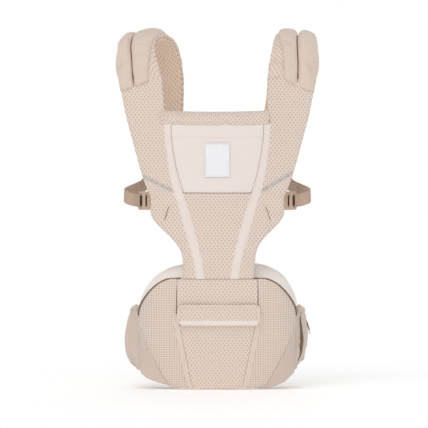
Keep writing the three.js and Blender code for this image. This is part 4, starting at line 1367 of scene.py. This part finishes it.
def build_side_buckle(name, side):
    round_off(f"{name}_side_buckle_socket", "carrier_body", 0.7)
    round_off(f"{name}_side_buckle_plug", f"{name}_side_plug", 0.7)
    round_off(f"{name}_anchor_webbing", "carrier_body", 0.4, WEBBING)
    round_off(f"{name}_chest_slider", "chest_strap", 0.5)
    loop = [
        [151, -66.5, 368, 0, 0, 1], [166, -72, 371, -0.1, 0, 1], [179, -64, 376, -0.1, 0.1, 1],
        [181, -46, 380, 0, 0.2, 1], [172, -26, 384.5, 0.1, 0.2, 1],
        [159, -5.2, 389.5, 0.15, 0, 1],
    ]
    webbing(f"{name}_webbing_loop", f"{name}_side_plug", loop, side, WEBBING_HALF, 110)
    # A dark sheet behind the ladder lock, seen through its slots: painted shade.
    low, high = (np.array(corner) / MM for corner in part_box(f"{name}_side_buckle_plug"))
    middle = (low + high) / 2
    far = np.abs([low[0], high[0]]).max()
    rows = level(far - 20, far - 3, middle[1] + 1, middle[2], 4)
    piece = ribbon(f"{name}_side_buckle_painted_shade", rows, side, 10, 12, 0.5, PAINTED_SLOT_SHADE)
    settle(piece, f"{name}_side_plug")


def build_hardware():
    for side, name in SIDES.items():
        build_side_buckle(name, side)
    round_off("chest_buckle_socket", "chest_strap", 0.6)
    round_off("chest_buckle_plug", "chest_strap", 0.6)
    round_off("waist_buckle_socket", "right_wing_belt", 0.9)
    round_off("waist_buckle_plug", "waist_plug", 0.7)
    round_off("waist_safety_button", "safety_button", 0.6)
    round_off("webbing_keeper", "left_wing_belt", 0.4, KEEPER)


# ---------------------------------------------------------------- stage
AMBIENT = 0.48
FLOOR_GLOW = 0.26  # keeps the sweep white around the shadow
LAMPS = (
    # name, place, strength, width in degrees
    ("key", (-0.6, -1.9, 2.3), 0.95, 40),
    ("fill", (0.9, -2.0, 0.8), 0.32, 60),
    ("back", (0.4, 2.0, 2.2), 0.4, 60),
)
TARGET = Vector((-0.0066, -0.06, 0.342))
CAMERA_DISTANCE = 8.0
CAMERA_RISE = 0.12
VIEW_WIDTH = 0.8346  # of the picture at the target, in metres
SENSOR = 36


def aimed(name, data, place, target):
    """A new lamp or camera that looks at the target."""
    obj = linked(name, data)
    obj.location = place
    obj.rotation_euler = (target - Vector(place)).to_track_quat("-Z", "Y").to_euler()
    return obj


def build_floor():
    bpy.ops.mesh.primitive_plane_add(size=80, location=(0, 0, -0.0006))
    floor = bpy.context.object
    floor.name = "floor"
    paint = bpy.data.materials.new("floor_paint")
    paint.use_nodes = True
    inputs = paint.node_tree.nodes["Principled BSDF"].inputs
    inputs["Base Color"].default_value = (0.93, 0.93, 0.93, 1)
    inputs["Roughness"].default_value = 0.6
    inputs["Emission Color"].default_value = (1, 1, 1, 1)
    inputs["Emission Strength"].default_value = FLOOR_GLOW
    floor.data.materials.append(paint)


def build_light():
    """A white backdrop that lights the object less than it shows, and three soft lamps."""
    world = bpy.data.worlds.new("studio")
    bpy.context.scene.world = world
    world.use_nodes = True
    nodes, links = world.node_tree.nodes, world.node_tree.links
    soft = nodes["Background"]
    soft.inputs["Strength"].default_value = AMBIENT
    white = nodes.new("ShaderNodeBackground")
    for background in (soft, white):
        background.inputs["Color"].default_value = (1, 1, 1, 1)
    choose = nodes.new("ShaderNodeMixShader")
    seen = nodes.new("ShaderNodeLightPath").outputs["Is Camera Ray"]
    for k, output in enumerate((seen, soft.outputs[0], white.outputs[0])):
        links.new(output, choose.inputs[k])
    links.new(choose.outputs[0], nodes["World Output"].inputs["Surface"])
    for name, place, strength, angle in LAMPS:
        light = bpy.data.lights.new(name, "SUN")
        light.energy = strength
        light.angle = math.radians(angle)
        aimed(name, light, place, Vector((0, 0, 0.35)))


def build_camera():
    camera = bpy.data.cameras.new("camera")
    camera.sensor_width = SENSOR
    camera.lens = SENSOR * CAMERA_DISTANCE / VIEW_WIDTH
    camera.clip_end = 200
    place = TARGET + Vector((0, -CAMERA_DISTANCE, CAMERA_RISE))
    bpy.context.scene.camera = aimed("camera", camera, place, TARGET)
    bpy.context.scene.view_settings.view_transform = "Standard"


for side in SIDES:
    build_wing(side)
    build_binding(side)
    build_strap(side)
    build_side_pocket(side)
    build_seat_seams(side)
    build_side_panel(side)
    build_belt_wing(side)
build_centre()
build_head_panel()
build_label()
build_neck_roll()
build_chest_strap()
build_seat_front()
build_seat_cover()
build_seat_core()
build_flap()
build_belly_pad()
build_waist()
build_hardware()
build_floor()
build_light()
build_camera()
